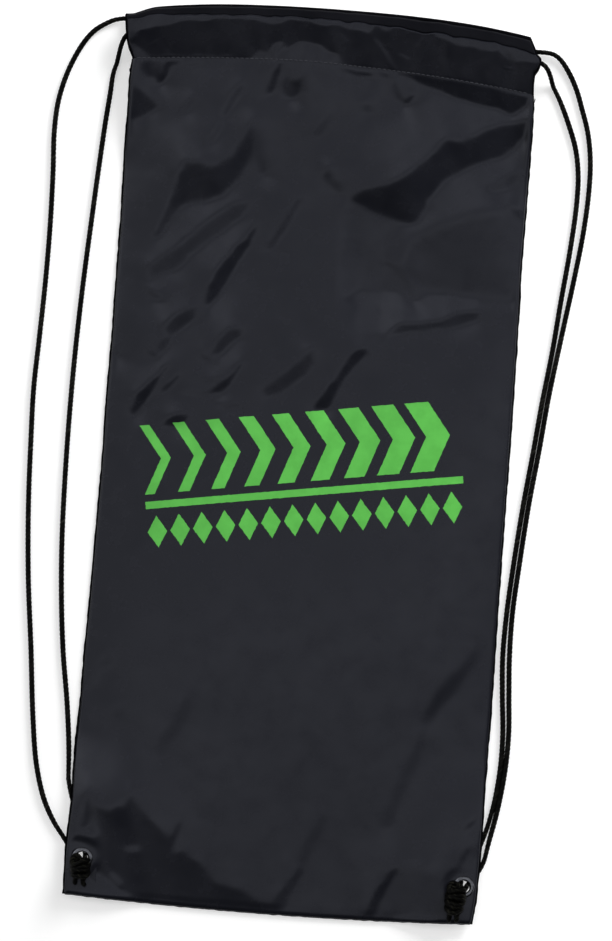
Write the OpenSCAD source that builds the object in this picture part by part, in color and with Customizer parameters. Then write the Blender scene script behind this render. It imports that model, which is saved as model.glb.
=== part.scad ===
// Drawstring carry bag of a roundnet set, lying empty on its back with its mouth towards +Y.
// Millimetres. X runs across the bag, Y towards the mouth, Z up from the table.
// Two cloth panels are sewn together at the sides and the bottom. Each panel ends in a casing
// with one drawcord in it. Both cords come out at each side, pass under the bottom corners
// and come up through an eyelet, where a knot holds them.

/* [Bag] */
// Width across the side seams
bag_w = 280; // [260:5:300]
// Length from the bottom seam to the fold of the casings
bag_l = 620; // [600:5:640]
// Thickness of the cloth with its coating
cloth_t = 0.8; // [0.6:0.1:1]
// Thickness of the folded seam allowance between the panels
seam_t = 1.2; // [1:0.1:1.6]
// Width of the seam allowance
seam_w = 2.4; // [2:0.1:4]
// Rise of the front panel over the seams
crown_h = 8; // [7:0.5:12]

/* [Casings] */
// Height of a casing along the mouth
casing_h = 39; // [34:1:46]
// How far the ends of a casing stand out past the side seams
casing_flare = 3.5; // [2:0.5:3.5]
// Gap between the two casings at the open mouth
mouth_gap = 4.8; // [4.6:0.1:10]

/* [Cords] */
// Diameter of the drawcord
cord_d = 3.4; // [3:0.1:3.4]
// Play of the cord in its casing, on each side
cord_play = 0.3; // [0.3:0.1:0.8]
// Radius at which a cord turns up into its eyelet
lead_bend_r = 4; // [3.6:0.1:4]

/* [Eyelets] */
// Distance of the eyelets from the middle line
eyelet_x = 129.5; // [129:0.5:130]
// Distance of the eyelets from the bottom seam
eyelet_rise = 27; // [26:0.5:28]
// Radius of the hole in the eyelet
eyelet_bore_r = 4.2; // [4.1:0.1:4.4]
// Radius of the flange
eyelet_flange_r = 7.2; // [6.8:0.1:7.6]
// Thickness of the flange
eyelet_flange_t = 1.2; // [1:0.1:1.4]
// Height of the lifted bottom corners over the table
corner_lift = 5.2; // [5.2:0.1:6]

/* [Print] */
// Slope of the print
print_slope = 9; // [0:0.5:10]
// Number of chevrons in the upper band
chevron_count = 9; // [4:1:9]
// Number of lozenges in the lower band
lozenge_count = 14; // [4:1:14]

/* [Hidden] */

half_w = bag_w / 2;
y_bottom = -bag_l / 2;
y_top = bag_l / 2;
y_hem = y_top - casing_h;

cord_r = cord_d / 2;
casing_r = cord_r + cord_play + cloth_t;
back_axis_z = casing_r;
front_axis_z = 3 * casing_r + mouth_gap;

cloth_black = [0.15, 0.152, 0.175];
cord_black = [0.05, 0.05, 0.055];
steel_dark = [0.55, 0.56, 0.6];
thread_black = [0.2, 0.2, 0.22];
print_green = [0.33, 0.73, 0.28];

// ---- Shape of the cloth -------------------------------------------------------------------

lift_x = half_w - 44;     // the corners start to lift here, towards the sides
lift_x_run = 22;
lift_y = y_bottom + 105;  // and here, towards the bottom
lift_y_run = 20;
side_slope = 25;          // width of the slope from the side seam up to the crown
flat_corner = 22;         // width of the flat cloth round an eyelet
flat_y = y_bottom + 75;
foot_slope = 45;          // length of the slope from the bottom seam up to the crown
rise_y = y_top - 120;     // the panels start to rise to their casings here

function smooth(t) = let (c = max(0, min(1, t))) c * c * (3 - 2 * c);
function mix(a, b, t) = a + (b - a) * t;

function lift(x, y) =
    corner_lift * smooth((abs(x) - lift_x) / lift_x_run) * smooth((lift_y - y) / lift_y_run);

// Underside of the back panel
function back_z(x, y) =
    lift(x, y) + (back_axis_z - cloth_t / 2) * smooth((y - y_hem + 36) / 36);

// Underside of the front panel
function slope_start(y) = half_w - flat_corner * smooth((flat_y - y) / lift_y_run);
function crown(x, y) =
    (crown_h - lift(x, y)) * smooth((slope_start(y) - abs(x)) / side_slope)
                           * smooth((y - y_bottom - seam_w) / foot_slope);
function front_z(x, y) =
    mix(back_z(x, y) + cloth_t + seam_t + crown(x, y),
        front_axis_z - cloth_t / 2,
        smooth((y - rise_y) / (y_hem - rise_y)));

// Lines of the cloth grid, closer where it slopes
half_lines = [half_w, half_w - seam_w, half_w - 7, half_w - 12, half_w - 17, half_w - 22,
              half_w - 29, half_w - 36, half_w - 44, 50];
x_lines = concat([for (x = half_lines) -x], [0],
                 [for (i = [len(half_lines) - 1:-1:0]) half_lines[i]]);
seam_cols = 1;            // grid columns of a side seam
patch_cols = 5;           // grid columns from the side to a patch's inner edge
foot_lines = [0, seam_w, 9, 17, 27, 37, 47, 56, 65, 75, 85, 90, 95, 100, 105];
foot_last = len(foot_lines) - 1;
patch_rows = 5;           // grid rows from the bottom to a patch's upper edge
mouth_lines = [120, 104, 90, 76, 66, 56, 47];
y_lines = concat([for (d = foot_lines) y_bottom + d],
                 [for (y = [-130:65:130]) y],
                 [for (d = mouth_lines) y_top - d],
                 [y_hem]);

function part_of(list, first, last) = [for (i = [first:last]) list[i]];
last_x = len(x_lines) - 1;
last_y = len(y_lines) - 1;

// A sheet's lower and upper face are each given as [0, z], the back panel's underside raised
// by z, or [1, z], the front panel's underside raised by z.
function face_z(face, x, y) = (face[0] == 0 ? back_z(x, y) : front_z(x, y)) + face[1];

// One closed sheet over the grid of xs and ys
module sheet(xs, ys, low, high) {
    nx = len(xs);
    ny = len(ys);
    layer = nx * ny;
    points = concat([for (y = ys, x = xs) [x, y, face_z(low, x, y)]],
                    [for (y = ys, x = xs) [x, y, face_z(high, x, y)]]);
    cells = [for (j = [0:ny - 2], i = [0:nx - 2]) j * nx + i];
    tops = [for (c = cells) each [[c + layer, c + nx + 1 + layer, c + 1 + layer],
                                  [c + layer, c + nx + layer, c + nx + 1 + layer]]];
    floors = [for (c = cells) each [[c, c + 1, c + nx + 1], [c, c + nx + 1, c + nx]]];
    rim = concat([for (i = [0:nx - 2]) [i, i + 1]],
                 [for (j = [0:ny - 2]) [j * nx + nx - 1, (j + 1) * nx + nx - 1]],
                 [for (i = [nx - 1:-1:1]) [(ny - 1) * nx + i, (ny - 1) * nx + i - 1]],
                 [for (j = [ny - 1:-1:1]) [j * nx, (j - 1) * nx]]);
    walls = [for (e = rim) each [[e[0], e[0] + layer, e[1] + layer],
                                 [e[0], e[1] + layer, e[1]]]];
    polyhedron(points, concat(tops, floors, walls));
}

back_face = [0, 0];
back_inner = [0, cloth_t];
front_inner = [1, 0];
front_face = [1, cloth_t];

module eyelet_holes() {
    for (side = [-1, 1])
        translate([side * eyelet_x, y_bottom + eyelet_rise, 0])
            cylinder(h = 30, r = eyelet_hole_r, $fn = 48);
}

// A panel of cloth from above its foot to its casing
module panel(low, high) {
    color(cloth_black) sheet(x_lines, part_of(y_lines, foot_last, last_y), low, high);
}

// The foot of a panel, with the corners that the eyelets go through
module foot(low, high) {
    color(cloth_black) difference() {
        sheet(x_lines, part_of(y_lines, 0, foot_last), low, high);
        eyelet_holes();
    }
}

module side_seam(side) {
    first = side < 0 ? 0 : last_x - seam_cols;
    color(cloth_black)
        sheet(part_of(x_lines, first, first + seam_cols), y_lines, back_inner, front_inner);
}

module bottom_seam() {
    color(cloth_black)
        sheet(part_of(x_lines, seam_cols, last_x - seam_cols), part_of(y_lines, 0, 1),
              back_inner, front_inner);
}

module corner_patch(side) {
    first = side < 0 ? seam_cols : last_x - patch_cols;
    last = side < 0 ? patch_cols : last_x - seam_cols;
    color(cloth_black) difference() {
        sheet(part_of(x_lines, first, last), part_of(y_lines, 1, patch_rows),
              back_inner, front_inner);
        eyelet_holes();
    }
}

// ---- Casings ------------------------------------------------------------------------------

lip_l = 3;                // flat edge of a casing, sewn to its panel
throat_l = 6;             // length over which a casing opens to its full height
casing_apex_y = y_top - 14;
thread_w = 0.5;
thread_h = 0.4;
channel_gap = 4;          // free cloth between the stitch line and the channel

module casing_profile() {
    outer_r = casing_r;
    inner_r = casing_r - cloth_t;
    full_y = y_hem + lip_l + throat_l;
    fold_y = y_top - casing_r;
    difference() {
        union() {
            polygon([[y_hem, -cloth_t], [y_hem + lip_l, -cloth_t], [full_y, -outer_r],
                     [fold_y, -outer_r], [fold_y, outer_r], [full_y, outer_r],
                     [y_hem + lip_l, cloth_t], [y_hem, cloth_t]]);
            translate([fold_y, 0]) circle(r = outer_r, $fn = 48);
        }
        polygon([[y_hem + channel_gap + lip_l, 0], [full_y + 1, -inner_r],
                 [fold_y, -inner_r], [fold_y, inner_r], [full_y + 1, inner_r]]);
        translate([fold_y, 0]) circle(r = inner_r, $fn = 48);
    }
}

// Outline of a casing seen from above, with its ends drawn out round the cords
module casing_plan() {
    right_end = [[half_w, y_hem], [half_w + casing_flare, casing_apex_y],
                 [half_w - 2, y_top + 1]];
    polygon(concat(right_end, [for (i = [2:-1:0]) [-right_end[i][0], right_end[i][1]]]));
}

module casing(axis_z) {
    color(cloth_black) intersection() {
        translate([0, 0, axis_z]) rotate([90, 0, 90])
            linear_extrude(height = bag_w + 2 * casing_flare + 2, center = true)
                casing_profile();
        translate([0, 0, axis_z - casing_r - 1])
            linear_extrude(height = 2 * casing_r + 2) casing_plan();
    }
}

// One line of lockstitch along the lip of a casing, on its outer face
module casing_thread(axis_z, side) {
    z = side > 0 ? axis_z + cloth_t : axis_z - cloth_t - thread_h;
    color(thread_black)
        translate([-half_w + seam_w, y_hem + lip_l / 2 - thread_w / 2, z])
            cube([bag_w - 2 * seam_w, thread_w, thread_h]);
}

tack_l = 8;
tack_w = 1.6;

// Bar tack across the top of a side seam, on its outer edge
module bar_tack(side) {
    x = side * half_w;
    color(thread_black)
        translate([side < 0 ? x - thread_h : x, y_hem - 12, back_axis_z])
            cube([thread_h, tack_w, tack_l]);
}

// ---- Eyelets ------------------------------------------------------------------------------

barrel_t = 0.6;
eyelet_hole_r = eyelet_bore_r + barrel_t + 0.05;
washer_t = 0.6;
lip_r = eyelet_bore_r + 1.4;
lip_t = 0.4;
flange_z = corner_lift + 2 * cloth_t + seam_t;
flange_top = flange_z + eyelet_flange_t;
washer_z = corner_lift - washer_t;

// Barrel with its flange on the front and the rolled lip that holds the washer
module eyelet(side) {
    barrel_r = eyelet_bore_r + barrel_t;
    color(steel_dark)
        translate([side * eyelet_x, y_bottom + eyelet_rise, 0])
            rotate_extrude($fn = 64)
                polygon([[eyelet_bore_r, washer_z - lip_t], [lip_r, washer_z - lip_t],
                         [lip_r, washer_z], [barrel_r, washer_z], [barrel_r, flange_z],
                         [eyelet_flange_r, flange_z], [eyelet_flange_r, flange_top - 0.7],
                         [eyelet_flange_r - 0.3, flange_top - 0.2],
                         [eyelet_flange_r - 0.9, flange_top],
                         [eyelet_bore_r + 0.8, flange_top],
                         [eyelet_bore_r + 0.2, flange_top - 0.3],
                         [eyelet_bore_r, flange_top - 0.8]]);
}

module eyelet_washer(side) {
    color(steel_dark)
        translate([side * eyelet_x, y_bottom + eyelet_rise, washer_z])
            difference() {
                cylinder(h = washer_t, r = eyelet_flange_r - 0.2, $fn = 64);
                translate([0, 0, -1]) cylinder(h = washer_t + 2, r = eyelet_hole_r, $fn = 64);
            }
}

// ---- Print on the front -------------------------------------------------------------------

ink_t = 0.2;
print_y = -11;            // middle of the print
print_len = 218;
chevron_h = 48;
chevron_nose = 13;
stripe_h = 5;
stripe_gap = 5;
lozenge_h = 22;
print_h = chevron_h + stripe_h + lozenge_h + 2 * stripe_gap;
print_foot = lozenge_h + stripe_gap;   // from the print's lower edge to its stripe

// A chevron pointing right, with arms w wide
module chevron(w) {
    polygon([[0, 0], [w, 0], [w + chevron_nose, chevron_h / 2], [w, chevron_h],
             [0, chevron_h], [chevron_nose, chevron_h / 2]]);
}

module lozenge(w) {
    polygon([[0, lozenge_h / 2], [w / 2, 0], [w, lozenge_h / 2], [w / 2, lozenge_h]]);
}

// A band of chevrons that grow bolder to the right, a stripe, and a band of lozenges
module print_outline() {
    pitch = (print_len - chevron_nose) / chevron_count;
    lozenge_pitch = print_len / lozenge_count;
    for (i = [0:chevron_count - 1])
        translate([i * pitch, stripe_h + stripe_gap])
            chevron(mix(0.3, 0.72, i / (chevron_count - 1)) * pitch);
    square([print_len, stripe_h]);
    for (i = [0:lozenge_count - 1])
        translate([i * lozenge_pitch, -print_foot])
            lozenge(lozenge_pitch * 0.86);
}

module front_print() {
    top_z = cloth_t + seam_t + crown_h + cloth_t;
    color(print_green)
        translate([0, print_y, top_z]) rotate([0, 0, print_slope])
            linear_extrude(height = ink_t)
                translate([-print_len / 2, print_foot - print_h / 2]) print_outline();
}

// ---- Cords --------------------------------------------------------------------------------

tube_sides = 8;
joint_gap = 2.5;          // a strand starts this far from the point it swings about

function unit(v) = v / norm(v);

// Tangent of a route at each of its points
function tangents(p) = [for (i = [0:len(p) - 1])
    unit(p[min(i + 1, len(p) - 1)] - p[max(i - 1, 0)])];

// A side direction carried along the route without twist
function carried(t, i, side) =
    i == len(t) ? [] :
    let (s = unit(side - t[i] * (side * t[i]))) concat([s], carried(t, i + 1, s));

module tube(route, r, round_start = false, round_end = false) {
    last = len(route) - 1;
    t = tangents(route);
    side = carried(t, 0, abs(t[0][2]) > 0.9 ? [1, 0, 0] : [0, 0, 1]);
    // a rounded end is two smaller rings past the end of the route
    caps_a = round_start ? [[-0.9, 0.45], [-0.55, 0.83]] : [];
    caps_b = round_end ? [[0.55, 0.83], [0.9, 0.45]] : [];
    rings = concat(
        [for (c = caps_a) [route[0] + t[0] * c[0] * r, 0, c[1]]],
        [for (i = [0:last]) [route[i], i, 1]],
        [for (c = caps_b) [route[last] + t[last] * c[0] * r, last, c[1]]]);
    points = [for (g = rings, k = [0:tube_sides - 1])
        let (a = 360 * k / tube_sides, s = side[g[1]], n = cross(t[g[1]], s))
        g[0] + r * g[2] * (cos(a) * s + sin(a) * n)];
    n = tube_sides;
    m = len(rings);
    skin = [for (j = [0:m - 2], k = [0:n - 1])
        let (a = j * n + k, b = j * n + (k + 1) % n) each [[a, b + n, b], [a, a + n, b + n]]];
    start_cap = [for (k = [1:n - 2]) [0, k, k + 1]];
    end_cap = [for (k = [1:n - 2]) [(m - 1) * n, (m - 1) * n + k + 1, (m - 1) * n + k]];
    polyhedron(points, concat(skin, start_cap, end_cap));
}

// The route of a strand, without the gap kept at each of its two ends
function shortened(p) =
    let (last = len(p) - 1)
    concat([p[0] + unit(p[1] - p[0]) * joint_gap], [for (i = [1:last - 1]) p[i]],
           [p[last] + unit(p[last - 1] - p[last]) * joint_gap]);

table_z = cord_r;         // middle of a cord that lies on the table

// Each strand swings about the line through the first and last points of its route
left_outer_route = [
    [-148, 297, back_axis_z], [-154, 295.5, 2.6], [-160, 292.5, 2.2], [-167, 287.5, table_z],
    [-173, 280, table_z], [-179, 267, table_z], [-184, 252, table_z], [-188, 235, table_z],
    [-189.5, 215, table_z], [-188, 185, table_z], [-187, 150, table_z], [-187, 110, table_z],
    [-188, 70, table_z], [-189, 35, table_z], [-188, 0, table_z], [-186, -45, table_z],
    [-182, -95, table_z], [-176, -145, table_z], [-171, -190, table_z], [-166, -222, table_z],
    [-159, -245, table_z], [-151, -260, table_z], [-143.5, -270, table_z]];
left_inner_route = [
    [-150, 266, table_z], [-152, 258, table_z], [-154, 244, table_z], [-156, 222, table_z],
    [-157.5, 190, table_z], [-159, 150, table_z], [-161, 110, table_z], [-162.5, 65, table_z],
    [-163, 20, table_z], [-162.5, -25, table_z], [-161, -70, table_z], [-158, -110, table_z],
    [-154, -145, table_z], [-149.5, -178, table_z], [-146, -208, table_z],
    [-143.5, -230, table_z]];
right_outer_route = [
    [147, 295, back_axis_z], [152, 294, 2.6], [157, 290.5, 2.2], [163, 282.5, table_z],
    [169, 271, table_z], [174, 257, table_z], [179, 241, table_z], [182, 222, table_z],
    [182.5, 200, table_z], [180.5, 170, table_z], [176, 135, table_z], [170.5, 95, table_z],
    [164.5, 55, table_z], [160.5, 18, table_z], [156, -20, table_z], [152.5, -60, table_z],
    [150, -95, table_z], [150, -125, table_z], [151.5, -152, table_z],
    [153.5, -178, table_z], [153, -203, table_z], [150, -232, table_z],
    [146.5, -252, table_z], [143.5, -264, table_z]];
right_inner_route = [
    [153.2, 271, table_z], [157.5, 262, table_z], [164, 246, table_z], [170, 229, table_z],
    [173, 211, table_z], [173.5, 190, table_z], [171, 158, table_z], [167, 122, table_z],
    [162.5, 86, table_z], [158.5, 50, table_z], [155, 15, table_z], [150.8, -22, table_z],
    [147.5, -60, table_z], [146.2, -95, table_z], [146, -125, table_z],
    [147, -152, table_z], [148.5, -178, table_z], [148.5, -200, table_z],
    [146.5, -222, table_z], [143.5, -240, table_z]];

// The drawcord in each casing, from the swing point on the left to the one on the right
back_run_route = [
    left_outer_route[0], [-142, 297, back_axis_z], [142, 295, back_axis_z],
    right_outer_route[0]];
front_run_route = [
    left_inner_route[0], [-149.5, 269, 3], [-148.7, 272.5, 6], [-147.8, 276, 9],
    [-146.5, 279.5, 11.6], [-144.5, 282.8, 12.9], [-141, 285, front_axis_z],
    [-132, 286, front_axis_z], [132, 286, front_axis_z], [141.5, 285.5, front_axis_z],
    [145, 284, 12.6], [147.8, 281.3, 10.8], [149.6, 278.6, 8], [151, 276, 5],
    [152, 273.6, 2.8], right_inner_route[0]];

module run(route) {
    color(cord_black) tube(route, cord_r, true, true);
}

module strand(route) {
    color(cord_black) tube(shortened(route), cord_r);
}

// A lead runs under the corner from the swing point and turns up through the eyelet
pair_x = 1.8;             // each lead stands this far from the middle of the eyelet
eyelet_y = y_bottom + eyelet_rise;

function turned_up(plan, x, y) =
    let (foot = plan[len(plan) - 1],
         u = unit([x - foot[0], y - foot[1]]))
    concat([for (p = plan) [p[0], p[1], table_z]],
           [for (a = [0:22.5:90])
            [x - u[0] * lead_bend_r * (1 - sin(a)), y - u[1] * lead_bend_r * (1 - sin(a)),
             table_z + lead_bend_r * (1 - cos(a))]],
           [[x, y, flange_top]]);

left_outer_plan = [[-143.5, -270], [-140.5, -274], [-137.5, -277.8]];
left_inner_plan = [[-143.5, -230], [-141.5, -238], [-137.5, -250], [-132.5, -263],
                   [-128.8, -273]];
right_outer_plan = [[143.5, -264], [141.5, -270], [137, -276.5]];
right_inner_plan = [[143.5, -240], [140, -249], [135, -259], [130, -269], [128, -275]];

module lead(plan, x) {
    color(cord_black) tube(turned_up(plan, x, eyelet_y), cord_r, true, false);
}

// ---- Knots --------------------------------------------------------------------------------

knot_z = flange_top + 0.1;
knot_r = 4.6;
tail_z = knot_z + cord_r;

// An overhand knot drawn up from both cords, cut flat where it sits on the flange
module knot(lobes, tails) {
    color(cord_black) {
        intersection() {
            hull() for (c = lobes) translate([c[0], c[1], knot_z + knot_r]) sphere(c[2], $fn = 18);
            translate([-bag_w, y_bottom - 50, knot_z]) cube([2 * bag_w, bag_l, 40]);
        }
        for (t = tails) tube(t, cord_r, false, true);
    }
}

left_lobes = [[-130.5, -284, 5], [-128.5, -287, 5.2], [-130.5, -293, 5], [-128, -296, 4.4]];
left_tails = [
    [[-131.5, -296, tail_z + 1.5], [-132.5, -300, tail_z + 0.6], [-133, -303, tail_z]],
    [[-127.5, -297, tail_z + 1.5], [-127, -301, tail_z + 0.6], [-127.5, -304, tail_z]]];
right_lobes = [[128, -283.5, 5], [124, -284, 5.2], [126.5, -290, 5], [122.5, -291.5, 4.6]];
right_tails = [
    [[122.5, -293, tail_z + 1.5], [121.5, -299, tail_z], [120.5, -306, tail_z],
     [120, -311, tail_z]],
    [[126, -293, tail_z + 1.5], [126, -298, tail_z], [125.5, -303, tail_z],
     [124.5, -308, tail_z]]];

// ---- The assembly -------------------------------------------------------------------------

panel(back_face, back_inner);  // back_panel
panel(front_inner, front_face);  // front_panel
foot(back_face, back_inner);  // back_foot
foot(front_inner, front_face);  // front_foot
casing(back_axis_z);  // back_casing
casing(front_axis_z);  // front_casing
side_seam(-1);  // left_side_seam
side_seam(1);  // right_side_seam
bottom_seam();
corner_patch(-1);  // left_corner_patch
corner_patch(1);  // right_corner_patch
eyelet(-1);  // left_eyelet
eyelet(1);  // right_eyelet
eyelet_washer(-1);  // left_eyelet_washer
eyelet_washer(1);  // right_eyelet_washer
casing_thread(back_axis_z, -1);  // back_casing_thread
casing_thread(front_axis_z, 1);  // front_casing_thread
bar_tack(-1);  // left_bar_tack
bar_tack(1);  // right_bar_tack
front_print();
run(back_run_route);  // back_cord_run
run(front_run_route);  // front_cord_run
lead(left_outer_plan, -eyelet_x - pair_x);  // left_outer_lead
lead(left_inner_plan, -eyelet_x + pair_x);  // left_inner_lead
lead(right_outer_plan, eyelet_x + pair_x);  // right_outer_lead
lead(right_inner_plan, eyelet_x - pair_x);  // right_inner_lead
knot(left_lobes, left_tails);  // left_knot
knot(right_lobes, right_tails);  // right_knot
strand(left_outer_route);  // left_outer_strand
strand(left_inner_route);  // left_inner_strand
strand(right_outer_route);  // right_outer_strand
strand(right_inner_route);  // right_inner_strand
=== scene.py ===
import math

import bpy
import numpy as np
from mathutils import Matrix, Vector
from mathutils.bvhtree import BVHTree


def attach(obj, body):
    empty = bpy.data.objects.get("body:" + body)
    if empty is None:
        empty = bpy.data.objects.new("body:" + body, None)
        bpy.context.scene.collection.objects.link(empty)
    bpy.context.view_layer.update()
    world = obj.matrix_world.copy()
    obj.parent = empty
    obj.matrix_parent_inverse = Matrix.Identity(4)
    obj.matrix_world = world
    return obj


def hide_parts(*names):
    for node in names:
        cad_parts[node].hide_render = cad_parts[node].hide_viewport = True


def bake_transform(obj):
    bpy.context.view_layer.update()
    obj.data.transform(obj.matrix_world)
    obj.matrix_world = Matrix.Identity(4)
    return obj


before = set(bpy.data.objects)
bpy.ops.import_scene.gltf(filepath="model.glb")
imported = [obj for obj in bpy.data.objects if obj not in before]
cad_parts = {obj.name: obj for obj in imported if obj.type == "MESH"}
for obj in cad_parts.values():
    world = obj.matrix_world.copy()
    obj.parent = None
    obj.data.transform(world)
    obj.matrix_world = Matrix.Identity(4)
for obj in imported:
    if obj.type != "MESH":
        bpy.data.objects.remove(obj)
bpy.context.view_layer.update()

# Shapes are worked out in millimetres, as in the part's source, and stored in metres.
MM = 0.001
BAG = "bag"
SIDES = (("left", -1), ("right", 1))


class Wiring:
    """A node tree with the few nodes that the finishes and the studio are made of"""

    def __init__(self, tree):
        self.nodes, self.links = tree.nodes, tree.links

    def feed(self, socket, value):
        """Joins a socket to another one, or sets its value"""
        if isinstance(value, bpy.types.NodeSocket):
            self.links.new(value, socket)
        else:
            socket.default_value = value

    def node(self, kind, feeds=(), **settings):
        """A new node with its settings, and with what goes into its sockets"""
        made = self.nodes.new(kind)
        for key, value in settings.items():
            setattr(made, key, value)
        for key, value in dict(feeds).items():
            self.feed(made.inputs[key], value)
        return made

    def place(self, scale=(1, 1, 1), turn=(0, 0, 0), attribute=None):
        """Object coordinates, or an attribute's, stretched and turned"""
        if attribute:
            source = self.node("ShaderNodeAttribute", attribute_name=attribute).outputs["Vector"]
        else:
            source = self.node("ShaderNodeTexCoord").outputs["Object"]
        turn = [math.radians(a) for a in turn]
        return self.node("ShaderNodeMapping",
                         dict(Vector=source, Scale=scale, Rotation=turn)).outputs[0]

    def noise(self, at, scale, detail=3.0, rough=0.55, kind="FBM", distortion=0.0):
        return self.node("ShaderNodeTexNoise",
                         dict(Vector=at, Scale=scale, Detail=detail, Roughness=rough,
                              Distortion=distortion), noise_type=kind).outputs[0]

    def wave(self, at, scale, axis="X"):
        return self.node("ShaderNodeTexWave", dict(Vector=at, Scale=scale),
                         bands_direction=axis).outputs[1]

    def math(self, operation, a, b):
        return self.node("ShaderNodeMath", {0: a, 1: b}, operation=operation).outputs[0]

    def ramp(self, value, low, high, out_low=0.0, out_high=1.0):
        return self.node("ShaderNodeMapRange",
                         {"Value": value, "From Min": low, "From Max": high,
                          "To Min": out_low, "To Max": out_high},
                         interpolation_type="SMOOTHSTEP").outputs[0]

    def colour(self, share, first, second):
        first, second = ((*c, 1) if isinstance(c, tuple) else c for c in (first, second))
        return self.node("ShaderNodeMix", {0: share, 6: first, 7: second},
                         data_type="RGBA").outputs[2]


# ---- Camera, light and floor ---------------------------------------------------------------

CAMERA_AT, CAMERA_TURN = (0.01251, -0.27159, 2.57047), (5.8605, -0.2045, 4.2909)
LAMP_AT, LAMP_AIM, LAMP_SIZE, LAMP_WATTS = (1.5, 2.2, 1.0), (0, -0.1, 0), (1.5, 1.8), 155.0
# A pale card hangs over the bag. It reaches from the far side over the middle and ends in
# front, along lines square to CARD_TURN. The rest of the studio is dark. Each pair says
# where along CARD_TURN, or along Y, the card starts to change and where it has changed.
CARD_TURN = (0.35, -0.94, 0.0)
CARD, CARD_HIGH, CARD_NEAR, CARD_FAR = 0.67, 3.4, 2.2, 0.06
HIGH_SPAN, NEAR_SPAN = (-0.40, -0.31), (-0.20, -0.02)
END_SPAN, FAR_SPAN = (0.08, 0.20), (0.48, 0.60)
STUDIO_DARK, HORIZON, HORIZON_SPAN = 0.03, 0.10, (0.08, 0.36)
# The floor shows as white paper, and lights the bag from below as a grey one.
FLOOR_SHADE, FLOOR_GLOW, FLOOR_GREY, FLOOR_Z = 0.60, 0.495, 0.3, -0.0003


def set_camera():
    lens = bpy.data.cameras.new("camera")
    lens.lens = 144.0
    lens.sensor_width = 36.0
    lens.clip_start, lens.clip_end = 0.1, 50.0
    camera = bpy.data.objects.new("camera", lens)
    camera.location = CAMERA_AT
    camera.rotation_euler = [math.radians(a) for a in CAMERA_TURN]
    bpy.context.scene.collection.objects.link(camera)
    bpy.context.scene.camera = camera


def hang_lamp():
    """The only lamp. Nothing mirrors it: what shines mirrors the card"""
    lamp = bpy.data.lights.new("key_lamp", "AREA")
    lamp.shape = "RECTANGLE"
    lamp.size, lamp.size_y = LAMP_SIZE
    lamp.energy = LAMP_WATTS
    holder = bpy.data.objects.new("key_lamp", lamp)
    holder.location = LAMP_AT
    holder.rotation_mode = "QUATERNION"
    holder.rotation_quaternion = (Vector(LAMP_AIM) - Vector(LAMP_AT)).to_track_quat("-Z", "Y")
    holder.visible_camera = False
    holder.visible_glossy = False
    bpy.context.scene.collection.objects.link(holder)


def light_the_studio():
    """The world holds the card, and is white only where the camera looks straight at it"""
    world = bpy.data.worlds.new("studio")
    bpy.context.scene.world = world
    world.use_nodes = True
    studio = Wiring(world.node_tree)
    studio.nodes.clear()
    around = studio.node("ShaderNodeTexCoord").outputs["Generated"]
    split = studio.node("ShaderNodeSeparateXYZ", {0: around}).outputs
    ahead = studio.node("ShaderNodeVectorMath", {0: around, 1: CARD_TURN},
                        operation="DOT_PRODUCT").outputs["Value"]
    front = studio.ramp(ahead, *END_SPAN, CARD, 0.0)
    middle = studio.math("MULTIPLY", studio.ramp(ahead, *HIGH_SPAN, CARD_HIGH, 1.0),
                         studio.ramp(ahead, *NEAR_SPAN, 1.0, CARD_NEAR))
    back = studio.ramp(split["Y"], *FAR_SPAN, 1.0, CARD_FAR)
    card = studio.math("MULTIPLY", front, studio.math("MULTIPLY", middle, back))
    overhead = studio.math("MULTIPLY", studio.math("ADD", card, STUDIO_DARK),
                           studio.ramp(split["Z"], *HORIZON_SPAN))
    strength = studio.math("MAXIMUM", overhead,
                           studio.ramp(split["Z"], *HORIZON_SPAN, HORIZON, 0.0))
    lit = studio.node("ShaderNodeBackground", dict(Strength=strength)).outputs[0]
    white = studio.node("ShaderNodeBackground", dict(Color=(1, 1, 1, 1))).outputs[0]
    camera_ray = studio.node("ShaderNodeLightPath").outputs["Is Camera Ray"]
    pick = studio.node("ShaderNodeMixShader", {0: camera_ray, 1: lit, 2: white}).outputs[0]
    studio.node("ShaderNodeOutputWorld", dict(Surface=pick))


def lay_floor():
    bpy.ops.object.select_all(action="DESELECT")
    bpy.ops.mesh.primitive_plane_add(size=40, location=(0, 0, FLOOR_Z))
    floor = bpy.context.object
    floor.name = "studio_floor"
    white = bpy.data.materials.new("white_floor")
    white.use_nodes = True
    paper = Wiring(white.node_tree)
    paper.nodes.clear()
    rays = paper.node("ShaderNodeLightPath").outputs
    shown = paper.math("MAXIMUM", rays["Is Camera Ray"],
                       paper.math("MAXIMUM", rays["Is Glossy Ray"], rays["Is Transmission Ray"]))
    paint, shade = (paper.node("ShaderNodeBsdfDiffuse", dict(Color=(c, c, c, 1))).outputs[0]
                    for c in (FLOOR_GREY, FLOOR_SHADE))
    glow = paper.node("ShaderNodeEmission", dict(Strength=FLOOR_GLOW)).outputs[0]
    both = paper.node("ShaderNodeAddShader", {0: shade, 1: glow}).outputs[0]
    pick = paper.node("ShaderNodeMixShader", {0: shown, 1: paint, 2: both}).outputs[0]
    paper.node("ShaderNodeOutputMaterial", dict(Surface=pick))
    floor.data.materials.append(white)


set_camera()
light_the_studio()
hang_lamp()
lay_floor()
bpy.context.scene.view_settings.view_transform = "Standard"


# ---- Materials -----------------------------------------------------------------------------

THREADS = 560              # wave scale of the weave, per metre
FINE_BUMP = 0.0001


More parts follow.
